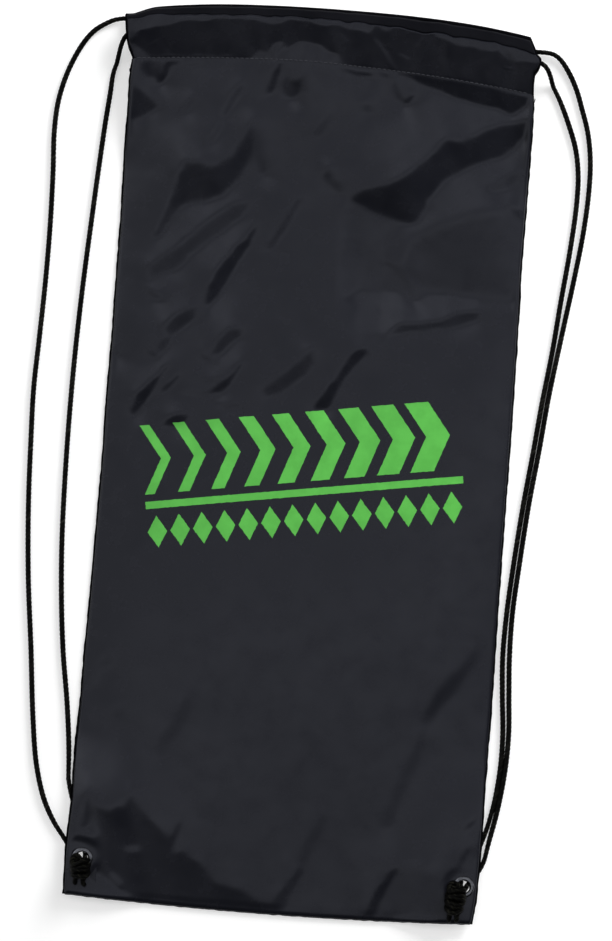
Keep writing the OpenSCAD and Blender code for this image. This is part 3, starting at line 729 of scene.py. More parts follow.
# Faces of the folds in the front cloth: how steep each one is, how soft its edges are, and
# its outline. The slack falls towards FALL, and the cloth lies flat between them.
FALL = np.array([0.35, -0.94])
FOLD_FACES = [
    (0.8, 1.6, [(-138.5, 249.5), (-132, 246), (-125, 241.5), (-119.5, 236.5), (-120, 234),
        (-127.5, 230), (-132.5, 226), (-138.5, 228.5), (-140.5, 238)]),
    (1.0, 0.6, [(-131.5, 267), (-127.5, 267.5), (-124.5, 260.5), (-124.5, 255.5), (-128, 256.5),
        (-131.5, 261.5)]),
    (1.2, 0.5, [(-125, 268.5), (-122, 268), (-119.5, 259.5), (-117.5, 257), (-116, 267),
        (-113, 267.5), (-114.5, 258.5), (-116.5, 251.5), (-120, 251), (-122.5, 258)]),
    (0.8, 0.6, [(-114, 267.5), (-107, 267.5), (-107.5, 265.5), (-113, 265)]),
    (0.5, 0.7, [(-100, 267.5), (-91, 268.5), (-91, 266.5), (-99, 264.5)]),
    (1.0, 0.6, [(-37.5, 274), (-35, 273.5), (-37, 263), (-41, 250.5), (-44.5, 249.5), (-42, 260)]),
    (0.8, 1.0, [(-35, 273), (-32, 267.5), (-29.5, 261.5), (-24.5, 259.5), (-22.5, 262.5),
        (-20.5, 261.5), (-22, 253), (-25, 247.5), (-30, 248.5), (-33, 255), (-33.5, 263)]),
    (0.85, 3.0, [(-53, 228.5), (-56, 221.5), (-60.5, 212.5), (-64.5, 204), (-72, 200),
        (-76.5, 195.5), (-82, 195), (-87, 198), (-91.5, 196.5), (-97, 197.5), (-100, 190.5),
        (-101.5, 183.5), (-103, 176.5), (-106, 168.5), (-107.5, 161), (-103.5, 161),
        (-98.5, 168), (-89.5, 172), (-80, 174), (-70.5, 177.5), (-65.5, 183), (-60.5, 190),
        (-55, 199.5), (-51, 210), (-49, 218.5)]),
    (0.6, 1.6, [(-105.5, 170.5), (-109.5, 160), (-113, 152), (-116, 147), (-112.5, 143.5),
        (-108, 150.5), (-102.5, 161), (-101, 168.5)]),
    (0.55, 1.2, [(-50, 224), (-46, 217.5), (-43.5, 207.5), (-39, 196), (-43.5, 193),
        (-47.5, 201.5), (-50.5, 211.5)]),
    (0.45, 3.0, [(-51.5, 172.5), (-56.5, 163.5), (-68, 153.5), (-79, 144), (-89, 135),
        (-98.5, 124), (-108.5, 121), (-107, 131), (-94, 141.5), (-83.5, 153), (-71, 163.5),
        (-60.5, 171.5)]),
    (1.2, 0.8, [(-44.5, 159.5), (-45.5, 153.5), (-48.5, 145.5), (-52.5, 137), (-57.5, 128.5),
        (-61.5, 119), (-66, 110), (-70.5, 103.5), (-74.5, 100.5), (-75, 105.5), (-74, 114.5),
        (-70.5, 123), (-66, 131), (-59, 140), (-52.5, 147.5), (-47.5, 155)]),
    (0.5, 1.6, [(-15, 179), (-19.5, 167.5), (-25.5, 154.5), (-33.5, 141.5), (-37, 144),
        (-31, 155.5), (-24.5, 168), (-19, 178)]),
    (0.5, 1.0, [(2, 202), (-1.5, 196), (3, 191), (8, 184), (13, 184.5), (9, 192.5)]),
    (0.4, 2.0, [(0.5, 240), (-5, 233.5), (-10.5, 224), (-5.5, 222.5), (0, 232)]),
    (0.4, 1.6, [(22, 248.5), (27.5, 247.5), (29.5, 241), (24, 242)]),
    (0.4, 1.5, [(-63, 255.5), (-69, 247), (-75, 232.5), (-71, 231.5), (-65, 244.5),
        (-60.5, 252.5)]),
    (0.35, 1.5, [(-76.5, 227), (-82.5, 214), (-78.5, 213.5), (-72.5, 226)]),
    (0.35, 1.5, [(-96, 243.5), (-102, 234), (-98, 233), (-93, 242)]),
    (1.3, 0.8, [(42.5, 270.5), (52.5, 269.5), (59, 266.5), (67.5, 264), (76.5, 261), (86, 257.5),
        (95.5, 255.5), (106, 253.5), (116.5, 252), (121.5, 249.5), (124.5, 247.5),
        (128.5, 251.5), (136, 255), (137.5, 261.5), (126.5, 263.5), (116, 265.5), (102, 268),
        (88, 269.5), (74, 271.5), (63.5, 272), (53, 272), (43, 272.5)]),
    (1.1, 0.6, [(40.5, 271.5), (43.5, 271), (45.5, 263.5), (49.5, 254), (51.5, 253),
        (53.5, 256.5), (57, 257.5), (54.5, 251), (50.5, 249), (46, 253), (42.5, 262)]),
    (0.9, 0.6, [(7, 272), (15.5, 270.5), (27.5, 270), (26.5, 267.5), (16.5, 267), (8, 269)]),
    (0.5, 0.8, [(29.5, 271.5), (38, 270.5), (40, 266.5), (35.5, 267)]),
    (1.1, 2.2, [(141.5, 245.5), (131, 243.5), (117.5, 239.5), (109.5, 236), (103, 232.5),
        (95, 227), (88, 226), (82.5, 227), (78, 223), (75.5, 218.5), (71, 213.5), (64.5, 208),
        (58, 202), (49, 195), (38, 190.5), (25.5, 187), (19, 181.5), (26.5, 178), (36, 173.5),
        (46.5, 170.5), (57, 168.5), (62.5, 168), (66, 170.5), (69, 177.5), (71.5, 185),
        (76, 191.5), (81, 199), (87, 203.5), (94, 208), (103, 213), (113, 216.5), (123, 221),
        (127.5, 226), (132.5, 232), (138.5, 238.5), (142.5, 243)]),
    (0.33, 2.2, [(113.5, 197), (123.5, 203.5), (131.5, 209.5), (130.5, 201), (123, 195),
        (115, 194.5)]),
    (0.6, 1.0, [(129, 185.5), (134.5, 183.5), (138, 177.5), (134.5, 175.5), (130, 180)]),
    (0.28, 1.8, [(110.5, 174.5), (116.5, 178.5), (120, 172.5), (115, 165)]),
    (0.14, 9.0, [(64.5, 159), (101.5, 176), (142, 186), (146.5, 120), (77.5, 122), (52.5, 134)]),
    (0.3, 2.5, [(63, 153.5), (73.5, 159), (83.5, 155), (81, 148.5), (67.5, 146)]),
    (0.35, 1.4, [(44.5, 139), (50.5, 136), (57, 130), (66, 114), (69, 115.5), (63.5, 125.5),
        (57.5, 135.5), (48.5, 141)]),
    (0.3, 2.4, [(98, 136), (104.5, 138), (107, 124.5), (100, 123)]),
    (0.5, 0.8, [(48.5, 87), (52, 93.5), (57.5, 97.5), (65.5, 99.5), (73.5, 99), (83, 101.5),
        (90, 104), (95.5, 108.5), (101, 110.5), (107.5, 111), (113, 110), (113, 105),
        (105, 101.5), (96.5, 98), (86.5, 96.5), (76, 94.5), (66, 92.5), (57, 90.5), (52, 86.5)]),
    (-0.95, 1.4, [(18.5, 112.5), (24.5, 116.5), (38, 118), (50, 119.5), (57.5, 117), (65, 113),
        (74, 117.5), (84.5, 119.5), (98.5, 119), (110.5, 117.5), (108, 111.5), (95.5, 108.5),
        (86, 103), (72.5, 100), (58.5, 98), (53, 93.5), (49.5, 83), (43.5, 76), (33.5, 77.5),
        (27, 90), (28, 104)]),
    (1.2, 0.7, [(-100, 56.5), (-104, 49.5), (-109, 44), (-113.5, 40.5), (-117.5, 36.5),
        (-119, 30.5), (-121, 23), (-118.5, 20.5), (-115, 24.5), (-111.5, 30.5), (-108.5, 36.5),
        (-105, 43), (-102, 48.5), (-97.5, 55)]),
    (0.8, 0.8, [(-92, 51.5), (-95.5, 46), (-100, 43), (-101.5, 39.5), (-98, 38.5), (-93.5, 43.5),
        (-89, 49.5)]),
    (1.0, 0.7, [(-49.5, 61.5), (-53.5, 55.5), (-58, 50), (-64.5, 46), (-69.5, 40), (-59.5, 40),
        (-55, 46), (-51.5, 53), (-47.5, 61)]),
    (1.0, 0.7, [(-93, 23), (-88.5, 24), (-82, 22.5), (-83, 18), (-87.5, 15), (-96, 14.5),
        (-97, 17)]),
    (0.5, 0.8, [(-76.5, 68), (-71, 64.5), (-66.5, 61.5), (-69, 59.5), (-74.5, 63)]),
    (0.65, 1.6, [(-50, 85.5), (-58.5, 84.5), (-65, 77), (-69, 67.5), (-63.5, 66.5), (-56.5, 75),
        (-50, 81)]),
    (0.7, 1.8, [(-83, 98.5), (-91, 94.5), (-99.5, 87.5), (-102.5, 81), (-97, 78.5), (-87.5, 85),
        (-82, 91)]),
    (0.55, 1.4, [(-98, 78.5), (-104.5, 73.5), (-107, 66), (-102, 66), (-96.5, 74)]),
    (0.5, 0.8, [(-115.5, 109.5), (-110, 107), (-106, 102.5), (-110, 100.5), (-114.5, 104.5)]),
    (0.3, 2.0, [(-117, 124), (-107, 131), (-103, 125), (-111, 117.5), (-115.5, 115)]),
    (0.5, 0.8, [(-112.5, 66.5), (-105, 63.5), (-106.5, 60), (-111.5, 63)]),
    (0.25, 0.8, [(-80.5, 48), (-63, 50), (-64, 47), (-80, 46)]),
    (0.3, 0.8, [(-86, 39.5), (-67, 41), (-67, 38.5), (-85.5, 37.5)]),
    (0.3, 0.8, [(-61.5, 32), (-46.5, 34.5), (-47.5, 31), (-60, 29.5)]),
    (0.6, 0.9, [(-144, 73), (-138.5, 66.5), (-131.5, 63.5), (-133.5, 61.5), (-140.5, 63),
        (-144, 67.5)]),
    (1.2, 0.8, [(37.5, 78), (30.5, 77), (25.5, 70.5), (21.5, 63.5), (16.5, 54.5), (12, 49),
        (8.5, 43), (6, 38), (4.5, 33.5), (14, 35), (16.5, 41.5), (19.5, 48.5), (23, 56),
        (27.5, 63), (32, 69), (36.5, 74)]),
    (0.6, 2.4, [(-1, 74), (-8, 66), (-15, 59.5), (-24, 51.5), (-31.5, 45.5), (-28, 40.5),
        (-19, 44.5), (-9.5, 51.5), (-3, 58), (2, 66.5)]),
    (0.85, 1.1, [(-130, -236.5), (-126.5, -241.5), (-122, -247.5), (-118, -249.5),
        (-113, -250.5), (-108.5, -246.5), (-103.5, -248), (-101.5, -243), (-100, -235.5),
        (-96.5, -242), (-93, -246.5), (-88.5, -250), (-84, -254.5), (-80.5, -256.5),
        (-77, -261.5), (-72.5, -265), (-69, -259.5), (-66.5, -254), (-64.5, -254), (-66, -260.5),
        (-68, -268.5), (-69.5, -274), (-66.5, -275), (-61, -272.5), (-56.5, -277.5),
        (-49.5, -280.5), (-45, -283.5), (-43, -288.5), (-40, -292), (-35.5, -293.5),
        (-31, -294.5), (-24, -295.5), (-17, -297.5), (-12, -300.5), (-8, -303), (-1.5, -304.5),
        (-1, -310.5), (-30, -311.5), (-61, -310), (-91.5, -309), (-99, -304.5), (-107, -299.5),
        (-113.5, -294.5), (-119.5, -290.5), (-124, -285.5), (-128.5, -277.5), (-133.5, -275),
        (-140, -277), (-143.5, -273.5), (-140, -269), (-132, -267), (-122.5, -269),
        (-119.5, -265.5), (-122, -259), (-125.5, -253.5), (-127, -260), (-130.5, -263.5),
        (-132.5, -261.5), (-130.5, -252), (-130.5, -243)]),
    (-0.3, 1.0, [(-101.5, -273.5), (-93.5, -271.5), (-90, -273.5), (-94.5, -276.5), (-100, -277)]),
    (-0.3, 0.9, [(-108.5, -288), (-105, -293.5), (-101, -298.5), (-104.5, -299.5),
        (-109, -293.5)]),
    (0.8, 0.9, [(18.5, -276.5), (15.5, -281.5), (12, -287), (7.5, -293), (3.5, -298.5),
        (-0.5, -304.5), (0, -310.5), (9, -309), (11.5, -298.5), (15, -292.5), (18, -287),
        (21, -281)]),
    (1.1, 0.7, [(83.5, -272.5), (79, -277), (75.5, -282.5), (71, -289.5), (67.5, -296.5),
        (66, -304), (65.5, -311.5), (70.5, -311), (72, -302.5), (74.5, -295.5), (77, -289),
        (80, -283), (84, -277)]),
    (0.75, 1.6, [(127.5, -121), (122.5, -127), (117, -135), (110, -141), (105, -148),
        (100, -155.5), (97.5, -162.5), (92.5, -170), (98, -174.5), (103, -167.5), (108.5, -160),
        (115, -152), (120, -143.5), (124, -135), (129.5, -126)]),
    (0.38, 2.2, [(93, -181.5), (88, -193), (82, -206.5), (78, -218), (75, -229), (69.5, -246),
        (77.5, -248), (82.5, -232), (87.5, -218), (93.5, -204), (97, -189)]),
    (0.36, 2.0, [(31, -240.5), (24.5, -252), (19, -263), (15, -275), (20, -278), (25.5, -266.5),
        (30.5, -255.5), (34.5, -244.5)]),
    (0.6, 0.8, [(136.5, -234.5), (130.5, -238), (128, -244), (131, -244.5), (134.5, -239),
        (137.5, -237.5)]),
    (0.7, 0.7, [(141.5, -242.5), (139, -249.5), (135, -261), (137, -262.5), (141, -253.5),
        (143, -245)]),
    (0.9, 0.7, [(130.5, -255.5), (127.5, -261), (125, -268.5), (128, -269), (130, -263),
        (132.5, -257.5)]),
    (0.38, 1.6, [(-128.5, -149.5), (-126.5, -144.5), (-121, -142.5), (-117, -148),
        (-121.5, -153.5), (-128, -155)]),
    (0.45, 1.2, [(-139, -163), (-130.5, -160.5), (-127.5, -163), (-132.5, -168), (-138, -169)]),
    (0.27, 2.6, [(-120, -180), (-110.5, -178.5), (-106, -183.5), (-111, -191), (-118, -187.5)]),
    (0.38, 2.2, [(-67, -164), (-71.5, -175), (-76.5, -185.5), (-83.5, -196.5), (-86.5, -211),
        (-79.5, -207.5), (-73, -197.5), (-65.5, -186), (-62.5, -174.5)]),
    (0.24, 5.0, [(85.5, -275.5), (104.5, -273), (112, -283), (111, -304.5), (84, -304.5),
        (79.5, -293.5)]),
]
WARP_X, WARP_Y = Noise(3, 7.0), Noise(4, 7.0)
WAVES, RIPPLES, CRUMPLE = Noise(11, 62.0), Noise(12, 24.0), Noise(13, 11.0)
PUCKERS, PUCKERS_FINE = Noise(21, 13.0), Noise(22, 6.0)
EDGE_PUCKERS = Noise(32, 4.5)


def keep_clear(x, y):
    """0 at the seams and round the eyelets, 1 out on the cloth"""
    inside = smooth((HALF_W - 1.0 - np.abs(x)) / 5) * smooth((y - Y_BOTTOM - 1.5) / 5)
    for eye_x, eye_y in EYELETS.values():
        inside = inside * smooth((np.hypot(x - eye_x, y - eye_y) - 8) / 7)
    return inside


def puckers(x, y):
    return 0.30 * PUCKERS(x, y) + 0.14 * PUCKERS_FINE(x, y)


def waves(x, y):
    calm = mix(0.35, 1.0, smooth((y + 40) / 120))
    total = calm * (0.60 * WAVES(x, y) + 0.26 * RIPPLES(x, y) + 0.06 * CRUMPLE(x, y))
    hem = np.exp(-((y - Y_HEM) / 16) ** 2)
    return (total + hem * puckers(x, y * 0.25)) * keep_clear(x, y)


def inside_outline(outline, x, y):
    """Distance in from a closed outline, negative outside it"""
    away = np.full(x.shape, 1e9)
    inside = np.zeros(x.shape, bool)
    for (ax, ay), (bx, by) in zip(outline, np.roll(outline, -1, axis=0)):
        dx, dy = bx - ax, by - ay
        t = np.clip(((x - ax) * dx + (y - ay) * dy) / max(dx * dx + dy * dy, 1e-9), 0, 1)
        away = np.minimum(away, np.hypot(x - ax - t * dx, y - ay - t * dy))
        crosses = (ay > y) != (by > y)
        with np.errstate(divide="ignore", invalid="ignore"):
            inside ^= crosses & (x < ax + (y - ay) / (by - ay) * dx)
    return np.where(inside, away, -away)


class Slack:
    """Heights of the slack in a cloth over its base, on a fine grid held at its four edges.
    The cloth falls steeply inside each outline, and lies flatter outside them."""

    ROUNDS = 16
    # Least and most lean towards FALL, seen from the eye: of cloth that lies flat, what a
    # whole step of steepness adds, and of cloth that rises
    LEAST, LEAST_ADDED, LEAST_RISING = 0.04, 0.25, -0.45
    MOST, MOST_ADDED, MOST_RISING = 0.07, 0.26, -0.42
    EYE_Y, EYE_Z = -270, 2570
    WARP, MARGIN = 0.9, 12

    def __init__(self, xs, ys, base, faces, lowest=-0.36):
        self.xs, self.ys, self.step = xs, ys, xs[1] - xs[0]
        x, y = np.meshgrid(xs, ys)
        steep = self.mark(x, y, faces)
        turn = np.arctan((y - self.EYE_Y) / self.EYE_Z)

        def fall(lean):
            return np.tan(0.5 * (np.arcsin(np.clip(lean, -0.95, 0.95)) + turn))

        least = fall(mix(np.where(steep < 0, self.LEAST_RISING, lowest),
                         self.LEAST + self.LEAST_ADDED * steep, smooth(steep / 0.12)))
        most = fall(np.where(steep < 0, mix(self.MOST, self.MOST_RISING, np.clip(-steep, 0, 1)),
                             self.MOST + self.MOST_ADDED * np.maximum(steep, 0)))
        by, bx = np.gradient(base(x, y), self.step)
        base_fall = -(bx * FALL[0] + by * FALL[1])
        (wave_y, bend_y), (wave_x, bend_x) = self.sines(len(ys)), self.sines(len(xs))
        ease = -4.0 / ((bend_y[:, None] + bend_x[None, :]) * (len(ys) + 1) * (len(xs) + 1))
        gx, gy = np.zeros((len(ys), len(xs) + 1)), np.zeros((len(ys) + 1, len(xs)))
        height = np.zeros(x.shape)
        for _ in range(self.ROUNDS):
            ex = np.diff(np.pad(height, ((0, 0), (1, 1))), axis=1) / self.step
            ey = np.diff(np.pad(height, ((1, 1), (0, 0))), axis=0) / self.step
            now = (base_fall - FALL[0] * (ex[:, 1:] + ex[:, :-1]) / 2
                   - FALL[1] * (ey[1:] + ey[:-1]) / 2)
            miss = np.clip(now, least, most) - now
            pad_x, pad_y = np.pad(miss, ((0, 0), (1, 1))), np.pad(miss, ((1, 1), (0, 0)))
            gx -= FALL[0] * (pad_x[:, 1:] + pad_x[:, :-1]) / 2
            gy -= FALL[1] * (pad_y[1:] + pad_y[:-1]) / 2
            spread = (np.diff(gx, axis=1) + np.diff(gy, axis=0)) * self.step
            height = wave_y @ ((wave_y @ spread @ wave_x) * ease) @ wave_x
        soft = np.pad(height, 1)
        soft = (soft[2:] + 2 * soft[1:-1] + soft[:-2]) / 4
        self.height = np.pad((soft[:, 2:] + 2 * soft[:, 1:-1] + soft[:, :-2]) / 4, 1)

    def mark(self, x, y, faces):
        u, v = x + self.WARP * WARP_X(x, y), y + self.WARP * WARP_Y(x, y)
        marked = np.zeros(x.shape)
        for steep, softness, outline in faces:
            (x0, y0), (x1, y1) = outline.min(axis=0), outline.max(axis=0)
            part = (slice(*np.searchsorted(self.ys, (y0 - self.MARGIN, y1 + self.MARGIN))),
                    slice(*np.searchsorted(self.xs, (x0 - self.MARGIN, x1 + self.MARGIN))))
            depth = inside_outline(outline, u[part], v[part])
            share = smooth(0.5 + depth / (2 * softness))
            marked[part] = (mix(marked[part], steep, share) if steep < 0
                            else np.maximum(marked[part], steep * share))
        return marked

    @staticmethod
    def sines(count):
        k = np.arange(1, count + 1)
        return (np.sin(math.pi * np.outer(k, k) / (count + 1)),
                2 - 2 * np.cos(math.pi * k / (count + 1)))

    def __call__(self, x, y):
        u = np.clip((x - self.xs[0]) / self.step + 1, 0, self.height.shape[1] - 1.001)
        v = np.clip((y - self.ys[0]) / self.step + 1, 0, self.height.shape[0] - 1.001)
        i, j = u.astype(int), v.astype(int)
        fu, fv = u - i, v - j
        h = self.height
        return mix(mix(h[j, i], h[j, i + 1], fu), mix(h[j + 1, i], h[j + 1, i + 1], fu), fv)


def dent(x, y):
    """The cloth falls away behind a ridge on its right, and so it shines there"""
    ridge = along(RIDGE, x)
    across = smooth((x - 10) / 18) * smooth((RIDGE_TOP - x) / 16)
    return (RIDGE_SLOPE * np.clip(y - ridge, 0, RIDGE_TOP - ridge) * across
            * (1 - smooth((y - RIDGE_TOP) / 75)))


def front_base(x, y):
    return front_face(x, y) + waves(x, y) + dent(x, y)


FRONT_SLACK = Slack(np.arange(-139, 139.5, 1.0), np.arange(-308, 270.5, 1.0), front_base, [
    (steep, softness, np.stack(unsettle(*np.array(outline, float).T), -1))
    for steep, softness, outline in FOLD_FACES])


def front_point(x, y):
    return front_base(x, y) + FRONT_SLACK(x, y) * keep_clear(x, y)


def lines_between(*spans):
    """Grid lines from (start, end, step) spans"""
    parts = [np.linspace(a, b, int(round(abs(b - a) / step)), endpoint=False)
             for a, b, step in spans]
    return np.concatenate(parts + [[spans[-1][1]]])


def open_eyelets(x, y):
    """Opens the cloth inside the eyelets: the cells that stay, and the grid moved out to
    their rims"""
    keep = np.ones((x.shape[0] - 1, x.shape[1] - 1), bool)
    for eye_x, eye_y in EYELETS.values():
        away = np.hypot(x - eye_x, y - eye_y)
        inner = away < CUT_R
        keep &= ~(inner[:-1, :-1] & inner[1:, :-1] & inner[:-1, 1:] & inner[1:, 1:])
        near = (away < EASE_R) & (away > 1e-6)
        moved = EASE_R - (EASE_R - np.maximum(away, LEAST_R)) * (EASE_R - EYELET_HOLE) / (
            EASE_R - LEAST_R)
        scale = np.where(near, moved / np.maximum(away, 1e-6), 1.0)
        x, y = eye_x + (x - eye_x) * scale, eye_y + (y - eye_y) * scale
    return x, y, keep


def make_front_panel():
    xs = lines_between((-CUT_W, -134, 1.2), (-134, 134, 1.75), (134, CUT_W, 1.2))
    ys = lines_between((Y_BOTTOM, -238, 1.6), (-238, 0, 4.4), (0, Y_HEM, 1.55),
                       (Y_HEM, Y_HEM + 0.3, 0.3), (Y_HEM + 0.3, 273, 0.85))
    x, y, keep = open_eyelets(*np.meshgrid(xs, ys))
    roll = smooth((np.abs(x) - 137.6) / 2.4) + smooth((-308.0 - y) / 2.0)
    stitched = STITCH_DEPTH * np.exp(-((y - Y_HEM) / 1.0) ** 2)
    tucked = 1.2 * smooth((y - Y_HEM - 0.3) / 1.6)
    outer = placed(x, y, front_point(x, y) - EDGE_DROP * roll - stitched - tucked)
    piece = cloth_piece("front_cloth", outer, outer - (0, 0, FINE_T), np.stack([x, y], -1),
                        PANEL_NYLON, "bag_cloth", keep)
    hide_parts("front_panel", "front_foot")
    return piece


def make_back_panel():
    xs = lines_between((HALF_W, -HALF_W, 2.8))
    ys = lines_between((Y_BOTTOM, -215, 2.4), (-215, 200, 4.5), (200, Y_HEM, 2.5))
    x, y, keep = open_eyelets(*np.meshgrid(xs, ys))
    crease = np.abs(0.5 * WAVES(y, x) + 0.5 * RIPPLES(y + 40, x))
    outer = placed(x, y, back_face(x, y) + 0.9 * crease * keep_clear(x, y))
    piece = cloth_piece("back_cloth", outer, outer + (0, 0, FINE_T), np.stack([x, y], -1),
                        PANEL_NYLON, "bag_cloth", keep)
    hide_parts("back_panel", "back_foot")
    return piece


# ---- Casings -------------------------------------------------------------------------------

CASING_H, FOLD_REACH, CASING_R = 39.3, 6.0, 2.8
CREST_D = CASING_H - FOLD_REACH
# The fold rolls over sooner towards the right end: (along the mouth, how much sooner)
CREST_SINK = [(-147, 0.4), (-128, 0.8), (-105, 2.4), (-60, 2.9), (0, 2.9), (25, 3.6), (50, 4.6),
              (75, 5.0), (147, 5.3)]
ROLL_POWER = 1.25
# Ends of a casing, by the distance from its stitch line
CASING_LEFT = [(-1.5, -138.5), (0, -139), (5, -140.4), (11, -143.0), (16, -144.2),
               (23, -145.0), (30, -145.6), (37, -146.2), (39.6, -145.6)]
CASING_RIGHT = [(-1.5, 139.6), (0, 139.4), (3, 139.2), (6.6, 139), (17, 139.3), (23, 142),
                (26.7, 143), (30.3, 142.5), (34.9, 138.6), (39.6, 134)]
CREST_Z = 18.4
HEM_TUCK, END_DROOP, FOLD_ROWS = 0.4, 3.4, 4
LINING_FOOT = {1: 2.3, -1: 0.6}     # how far from the axis each casing's lining is sewn down
# The front casing is steep between these two lines: (along the mouth, from the stitch line)
STEEP_TOP = [(-147, 14), (-139, 16.4), (-135, 21.3), (-130, 22.5), (-115, 23.5), (-109, 26),
             (-101, 27), (-91, 26), (-84, 28), (-56, 27.4), (-46, 25), (-37, 26),
             (-32, 29.2), (-25, 28.5), (-15, 27.5), (-8, 26.5), (2, 26.5), (11, 25.3),
             (23, 23.3), (27, 30.2), (33, 26.5), (37, 25.5), (40, 29.8), (47, 29),
             (54, 27.3), (65, 29.5), (69, 27), (75, 26), (82, 23), (100, 22.8), (107, 22.5),
             (112, 24.2), (121, 19.5), (128, 19.5), (135, 21.6), (147, 22)]
STEEP_FOOT = [(-147, 12), (-139, 12), (-137, 10.3), (-132, 6.2), (-127, 0.8), (-122, -3),
              (-66, -3), (-60, 0), (-55, 1.7), (-52, 6.5), (-46, 3.5), (-42, 11.5),
              (-36, 13.6), (-32, 7.3), (-30, 10.5), (-24, 14.7), (-17, 13.6), (-10, 11.6),
              (2, 6.5), (5, 0.5), (8, -3), (147, -3)]
# Creases in it: how steep, softness, half width, and a line in the same measures
CASING_CREASES = [
    (1.5, 0.6, 1.0, [(104, 33), (113, 28), (122, 22), (128, 17)]),
    (1.4, 0.6, 0.9, [(120, 35), (127, 31), (134, 27)]),
    (-0.12, 0.6, 0.9, [(108, 30.5), (117, 25.5), (126, 19)]),
    (-0.12, 0.6, 0.9, [(124, 33.5), (131, 30)]),
    (1.4, 0.7, 1.1, [(118, 1), (116, 15), (112, 25)]),
    (1.4, 0.7, 1.0, [(84, 0), (79, 13), (76, 22)]), (1.2, 0.8, 0.8, [(98, 1), (94, 13)]),
    (1.1, 0.8, 1.6, [(107, 34), (118, 31), (131, 30)]),
    (1.0, 0.6, 0.9, [(-36, 12), (-39, 6), (-42, -2)]), (0.9, 0.6, 1.0, [(-133, 9), (-128, 3)]),
    (0.9, 0.6, 0.9, [(-114, 31), (-104, 32.5), (-92, 31)]),
    (0.8, 0.6, 0.8, [(-58, 32), (-47, 31)]), (0.9, 0.6, 0.9, [(14, 31), (22, 30)]),
    (-0.10, 0.8, 1.2, [(28, 20), (35, 12), (43, 1)]), (-0.05, 0.8, 1.1, [(45, 12), (52, 9)]),
    (-0.05, 0.8, 0.9, [(72, 20), (75, 12), (80, 2)]), (-0.05, 0.8, 0.8, [(106, 20), (110, 4)]),
    (-0.05, 0.8, 0.8, [(122, 19), (126, 8), (128, 1)]), (-0.05, 0.8, 0.8, [(90, 12), (92, 2)]),
    (-0.05, 0.8, 1.0, [(60, 26), (57, 18)]), (-0.05, 0.7, 0.8, [(-118, 10), (-113, 1)]),
    (-0.05, 0.7, 0.8, [(-129, 9), (-123, 14)]), (-0.05, 0.8, 0.9, [(8, 16), (3, 21)]),
    (-0.05, 0.8, 0.7, [(-127, 2), (-70, 1.4)]),
]


def ribbon(line, half):
    """The outline of a line of this half width, pointed at its ends"""
    line = np.array(line, float)
    ahead = np.gradient(line, axis=0)
    ahead /= np.linalg.norm(ahead, axis=1)[:, None]
    beside = np.stack([-ahead[:, 1], ahead[:, 0]], -1) * half
    beside[0] *= 0.4
    beside[-1] *= 0.4
    return np.vstack([line + beside, (line - beside)[::-1]])


def casing_base(x, y):
    d = np.clip(y - Y_HEM, 0, CREST_D)
    hem = front_point(x, np.full(np.shape(x), Y_HEM))
    return mix(hem, CREST_Z, d / CREST_D) + puckers(x, y * 0.3) * smooth(d / 5) * smooth(
        (CREST_D - d) / 4)


def casing_faces():
    band = np.array(STEEP_TOP + STEEP_FOOT[::-1], float)
    faces = [(0.84, 0.9, band)]
    faces += [(steep, soft, ribbon(line, half)) for steep, soft, half, line in CASING_CREASES]
    return [(steep, soft, outline + (0, Y_HEM)) for steep, soft, outline in faces]


CASING_SLACK = Slack(np.arange(-148.5, 149, 0.5), np.arange(Y_HEM + 0.5, Y_HEM + CREST_D, 0.5),
                     casing_base, casing_faces(), lowest=-0.28)


def front_casing_top(x, d):
    """Height of the front casing's outer face over its middle"""
    top = casing_base(x, Y_HEM + d) + CASING_SLACK(x, Y_HEM + d) - FRONT_AXIS
    over_cord = 1.6 - 0.42 * (d - 14.5) ** 2
    return np.maximum(top, over_cord)


def back_casing_top(x, d):
    pucker = np.abs(PUCKERS(x + 55, d * 0.3)) * 0.6 * smooth(d / 6) * smooth((36 - d) / 8)
    return 0.4 + (CASING_R - 0.4) * smooth(d / 9) - pucker


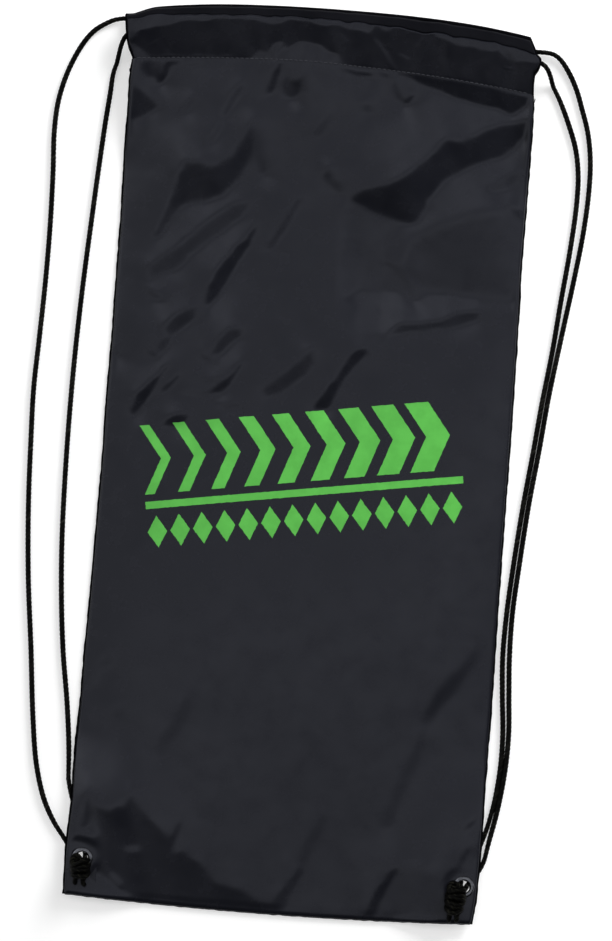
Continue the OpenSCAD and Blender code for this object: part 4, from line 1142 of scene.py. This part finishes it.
def make_casing(name, axis, facing, top, node):
    """Cloth folded over the mouth and stitched down. facing is 1 for the front casing, whose
    outer face looks up, and -1 for the back one."""
    us = np.linspace(-1, 1, 201)[::facing]
    out_d = np.concatenate([[-0.3, 0, 0.15], np.linspace(0.75, 3, 4),
                            np.linspace(4, CREST_D, 33)])
    turn = np.linspace(0, math.pi, 18)[1:-1]
    first, last = len(out_d), len(out_d) + len(turn)      # the rows of the roll
    roll = np.sin(turn) ** ROLL_POWER
    d = np.concatenate([out_d, CREST_D + FOLD_REACH * roll, np.linspace(CREST_D, 0, 15)])[:, None]
    x = mix(along(CASING_LEFT, d), along(CASING_RIGHT, d), (us[None, :] + 1) / 2)
    sink = along(CREST_SINK, x) + 1.2 * PUCKERS(x, 40) + 0.8 * PUCKERS_FINE(x, 9)
    d = d - sink * np.where(d < CREST_D, smooth((d - 8) / (CREST_D - 8)),
                            np.clip((CASING_H - d) / FOLD_REACH, 0, 1))
    h = top(x, np.clip(d, -1, CREST_D))
    h[0] -= HEM_TUCK
    crest = h[first - 1]
    centre, swell = (crest - CASING_R) / 2, (crest + CASING_R) / 2
    for row, t in enumerate(turn, first):
        h[row] = centre + swell * math.copysign(abs(math.cos(t)) ** ROLL_POWER, math.cos(t))
    lining = -CASING_R + smooth((8 - d) / 8) * (CASING_R - LINING_FOOT[facing])
    h[last:] = lining[last:]
    stitched = STITCH_DEPTH * np.exp(-(d / 1.0) ** 2)
    stitched[first:] = 0
    py = settle(np.clip(x, -HALF_W, HALF_W), Y_HEM + d)[1]
    py = py - END_DROOP * smooth((-124 - x) / 22) * (d / CASING_H) ** 2
    outer = np.stack([x, py, axis + facing * (h - stitched)], -1)
    normal = np.cross(np.gradient(outer, axis=1), np.gradient(outer, axis=0))
    normal /= np.linalg.norm(normal, axis=2)[..., None]
    inner = outer - normal * FINE_T
    run = path_lengths(outer[:, len(us) // 2])
    flat = np.stack([x, Y_HEM + np.broadcast_to(run[:, None], x.shape)], -1)
    # The rim rows and both ends take the near-black seam nylon, and the rows where the roll starts
    # take the darker fold nylon: painted shade along the top of the mouth.
    rim, fold = np.zeros((2, len(d) - 1, len(us) - 1), bool)
    rim[first + FOLD_ROWS:last - 5] = True
    rim[:, [0, -1]] = True
    fold[first - 1:first + FOLD_ROWS] = True
    fold &= ~rim
    piece = cloth_piece(name, outer, inner, flat, CASING_NYLON, "casing_cloth", ~rim & ~fold)
    cloth_piece(f"{name}_rim", outer, inner, flat, SHADED_SEAM_NYLON, "casing_cloth", rim)
    cloth_piece(f"{name}_fold", outer, inner, flat, SHADED_FOLD_NYLON, "casing_cloth", fold)
    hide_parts(node)
    return piece


# ---- Seams and stiffeners ------------------------------------------------------------------

SEAM_TURN = np.radians([-90, -60, -30, 0, 30, 60, 90])


def rolled_edge(run, edge, spot, row):
    """Outer face, inner face and flat cloth of an edge where the two panels are sewn together.
    spot gives x and y from the places along the seam and how far out they are."""
    low = back_face(*spot(run, np.full(run.shape, edge)))
    high = front_face(*spot(run, np.full(run.shape, edge))) - EDGE_DROP
    roll = 1.3 + 0.35 * EDGE_PUCKERS(run, row)
    low, high, roll, run = (values[:, None] for values in (low, high, roll, run))
    z = (low + high) / 2 + (high - low) / 2 * np.sin(SEAM_TURN)
    run = np.broadcast_to(run, z.shape)
    outer = placed(*spot(run, edge - 1.0 + roll * np.cos(SEAM_TURN)), z)
    inner = placed(*spot(run, np.full(z.shape, edge - 2.4)), np.clip(z, low + 0.5, high - 0.5))
    return outer, inner, np.stack([z, run], -1)


def make_side_seams():
    ys = lines_between((Y_BOTTOM, -215, 1.5), (-215, 180, 2.2), (180, Y_HEM, 1.5))
    for side, sign in SIDES:
        grids = rolled_edge(ys, HALF_W, lambda run, out: (sign * out, run), sign * 20)
        # The rolled seam takes the near-black seam nylon: painted shade along the bag's side.
        piece = cloth_piece(f"{side}_seam_edge", *(grid[:, ::sign] for grid in grids),
                            SHADED_SEAM_NYLON, "seam_cloth")
        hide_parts(f"{side}_side_seam")


def make_bottom_seam():
    xs = lines_between((-138.6, 138.6, 1.6))
    grids = rolled_edge(xs, -Y_BOTTOM, lambda run, out: (run, -out), 90)
    outer, inner, flat = (grid.swapaxes(0, 1) for grid in grids)
    # The rolled seam takes the near-black seam nylon: painted shade along the bag's foot.
    piece = cloth_piece("bottom_seam_edge", outer, inner, flat[..., ::-1], SHADED_SEAM_NYLON,
                        "seam_cloth")
    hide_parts("bottom_seam")


def make_patches():
    """Stiff cloth between the panels under each eyelet"""
    for side, sign in SIDES:
        xs = lines_between((*sorted((sign * 118.2, sign * 137.4)), 1.2))
        x, y, keep = open_eyelets(*np.meshgrid(xs, lines_between((-307.4, -273.2, 1.2))))
        top, low = (placed(x, y, back_face(x, y) + above) for above in (1.9, 0.9))
        piece = cloth_piece(f"{side}_corner_stiffener", top, low, np.stack([x, y], -1),
                            PATCH_NYLON, "patch_cloth", keep)
        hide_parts(f"{side}_corner_patch")


# ---- Stitches ------------------------------------------------------------------------------

def stitch_shape(length, width, height):
    """One stitch: a short thread that dips into the cloth at both ends"""
    bpy.ops.object.select_all(action="DESELECT")
    bpy.ops.mesh.primitive_uv_sphere_add(segments=8, ring_count=6, radius=0.5)
    stitch = bpy.context.object
    bpy.ops.object.mode_set(mode="EDIT")
    bpy.ops.mesh.select_all(action="SELECT")
    bpy.ops.transform.rotate(value=math.pi / 2, orient_axis="Y", center_override=(0, 0, 0))
    bpy.ops.transform.resize(value=(length, width, height), center_override=(0, 0, 0))
    bpy.ops.object.mode_set(mode="OBJECT")
    points = np.array([v.co for v in stitch.data.vertices])
    points[:, 2] -= 0.5 * height * (points[:, 0] / (length / 2)) ** 2
    faces = [list(f.vertices) for f in stitch.data.polygons]
    bpy.data.objects.remove(stitch)
    return points, faces


def sew(name, shape, places, material, slot, node):
    """Copies of a stitch: each place has its middle, and its direction along the seam"""
    points, faces = shape
    copies = []
    for middle, ahead, up in places:
        ahead = np.array(ahead, float)
        ahead /= np.linalg.norm(ahead)
        beside = np.cross(np.array(up, float), ahead)
        beside /= np.linalg.norm(beside)
        turned = points @ np.stack([ahead, beside, np.cross(ahead, beside)])
        copies.append((np.array(middle) + turned, faces))
    piece = new_piece(name, *gather(copies), material, slot)
    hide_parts(node)


def make_stitches(front_casing, back_casing):
    shape = stitch_shape(3.0, 0.8, 0.4)
    for name, casing, facing in (("front", front_casing, 1), ("back", back_casing, -1)):
        tree = BVHTree.FromObject(casing, bpy.context.evaluated_depsgraph_get())
        places = []
        for x in np.arange(-135.0, 135.1, 3.4):
            px, py = settle(np.array([x]), np.array([Y_HEM + 0.12]))
            start = Vector((px[0] * MM, py[0] * MM, facing * 0.05))
            hit = tree.ray_cast(start, Vector((0, 0, -facing)))[0]
            if hit is None:
                continue
            up = np.array([0, 0, facing], float)
            slope = -0.0009 * x - 0.016
            places.append((np.array(hit) / MM + up * 0.08, (1.0, slope, 0.0), up))
        sew(f"{name}_casing_stitches", shape, places, SEAM_THREAD, "sewing_thread",
            f"{name}_casing_thread")


def make_tacks():
    shape = stitch_shape(2.2, 0.55, 0.4)
    for side, sign in SIDES:
        places = [((sign * 140.55, 259.8, 2.9 + 0.54 * k), (0, 1, 0.12 if k % 2 else -0.12),
                   (sign, 0, 0)) for k in range(15)]
        sew(f"{side}_tack_stitches", shape, places, TACK_THREAD, "tack_thread", f"{side}_bar_tack")


# ---- Print ---------------------------------------------------------------------------------

INK_T = 0.06
PRINT_Y, PRINT_LEN, PRINT_TURN = -11.0, 218.0, math.radians(9)
CHEVRON_H, CHEVRON_NOSE, STRIPE_H, STRIPE_GAP, LOZENGE_H = 48.0, 13.0, 5.0, 5.0, 22.0
CHEVRONS, LOZENGES, LOZENGE_SHARE = 9, 14, 0.86
INK_LIFT, RAG = 0.03, 0.28
RAGGED = Noise(41, 1.6)


def ink_patch(columns, rows):
    """A plane cut into a grid, its corners at 0 and 1"""
    bpy.ops.object.select_all(action="DESELECT")
    bpy.ops.mesh.primitive_grid_add(x_subdivisions=columns, y_subdivisions=rows, size=1,
                                    location=(0.5, 0.5, 0))
    patch = bpy.context.object
    points = np.array([patch.matrix_world @ v.co for v in patch.data.vertices])[:, :2]
    faces = [list(f.vertices) for f in patch.data.polygons]
    bpy.data.objects.remove(patch)
    return points, faces


def make_print(cloth):
    foot = LOZENGE_H + STRIPE_GAP
    height = CHEVRON_H + STRIPE_H + LOZENGE_H + 2 * STRIPE_GAP
    pitch = (PRINT_LEN - CHEVRON_NOSE) / CHEVRONS
    shapes = []
    for k in range(CHEVRONS):
        share = k / (CHEVRONS - 1)
        wide = (0.3 + 0.42 * share) * pitch
        grid, faces = ink_patch(max(4, int(wide / 1.8)), 30)
        nose = CHEVRON_NOSE * (1 - np.abs(2 * grid[:, 1] - 1))
        up = STRIPE_H + STRIPE_GAP + grid[:, 1] * CHEVRON_H
        shapes.append((np.stack([k * pitch + grid[:, 0] * wide + nose, up], -1), faces, grid))
    grid, faces = ink_patch(130, 4)
    shapes.append((grid * np.array([PRINT_LEN, STRIPE_H]), faces, grid))
    pitch = PRINT_LEN / LOZENGES
    half = pitch * LOZENGE_SHARE / 2
    for k in range(LOZENGES):
        grid, faces = ink_patch(9, 9)
        a, b = grid[:, 0], grid[:, 1]
        up = LOZENGE_H / 2 * (a + b) - foot
        shapes.append((np.stack([k * pitch + half * (1 + a - b), up], -1), faces, grid))
    tree = BVHTree.FromObject(cloth, bpy.context.evaluated_depsgraph_get())
    c, s = math.cos(PRINT_TURN), math.sin(PRINT_TURN)
    parts = []
    for flat, cells, grid in shapes:
        rim = (np.minimum(grid, 1 - grid).min(axis=1) < 1e-4)[:, None]
        u, v = flat.T
        flat = flat + rim * np.stack([RAGGED(u, v), RAGGED(v + 99, u)], -1) * RAG
        x, y = flat[:, 0] - PRINT_LEN / 2, flat[:, 1] + foot - height / 2
        px, py = c * x - s * y, PRINT_Y + s * x + c * y
        hits = [tree.ray_cast(Vector((u * MM, v * MM, 0.06)), Vector((0, 0, -1)))[0]
                for u, v in zip(px, py)]
        parts.append((np.stack([px, py, [hit[2] / MM + INK_LIFT for hit in hits]], -1), cells))
    piece = new_piece("front_print_ink", *gather(parts), PRINT_INK, "print_ink")
    bpy.ops.object.select_all(action="DESELECT")
    piece.select_set(True)
    bpy.context.view_layer.objects.active = piece
    film = piece.modifiers.new("film", "SOLIDIFY")
    film.thickness = INK_T * MM
    film.offset = 1.0
    bpy.ops.object.modifier_apply(modifier=film.name)
    bpy.ops.object.shade_smooth_by_angle(angle=math.radians(40))
    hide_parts("front_print")


# ---- The bag -------------------------------------------------------------------------------

make_strands()
make_runs()
make_leads()
make_knots()
front = make_front_panel()
back = make_back_panel()
front_casing = make_casing("front_casing_cloth", FRONT_AXIS, 1, front_casing_top,
                           "front_casing")
back_casing = make_casing("back_casing_cloth", BACK_AXIS, -1, back_casing_top, "back_casing")
make_side_seams()
make_bottom_seam()
make_patches()
make_stitches(front_casing, back_casing)
make_tacks()
make_print(front)

for name, finish in (("left_eyelet", EYELET_METAL), ("right_eyelet", EYELET_METAL),
                     ("left_eyelet_washer", WASHER_METAL), ("right_eyelet_washer", WASHER_METAL)):
    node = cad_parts[name]
    node.data.materials.clear()
    node.data.materials.append(finish)
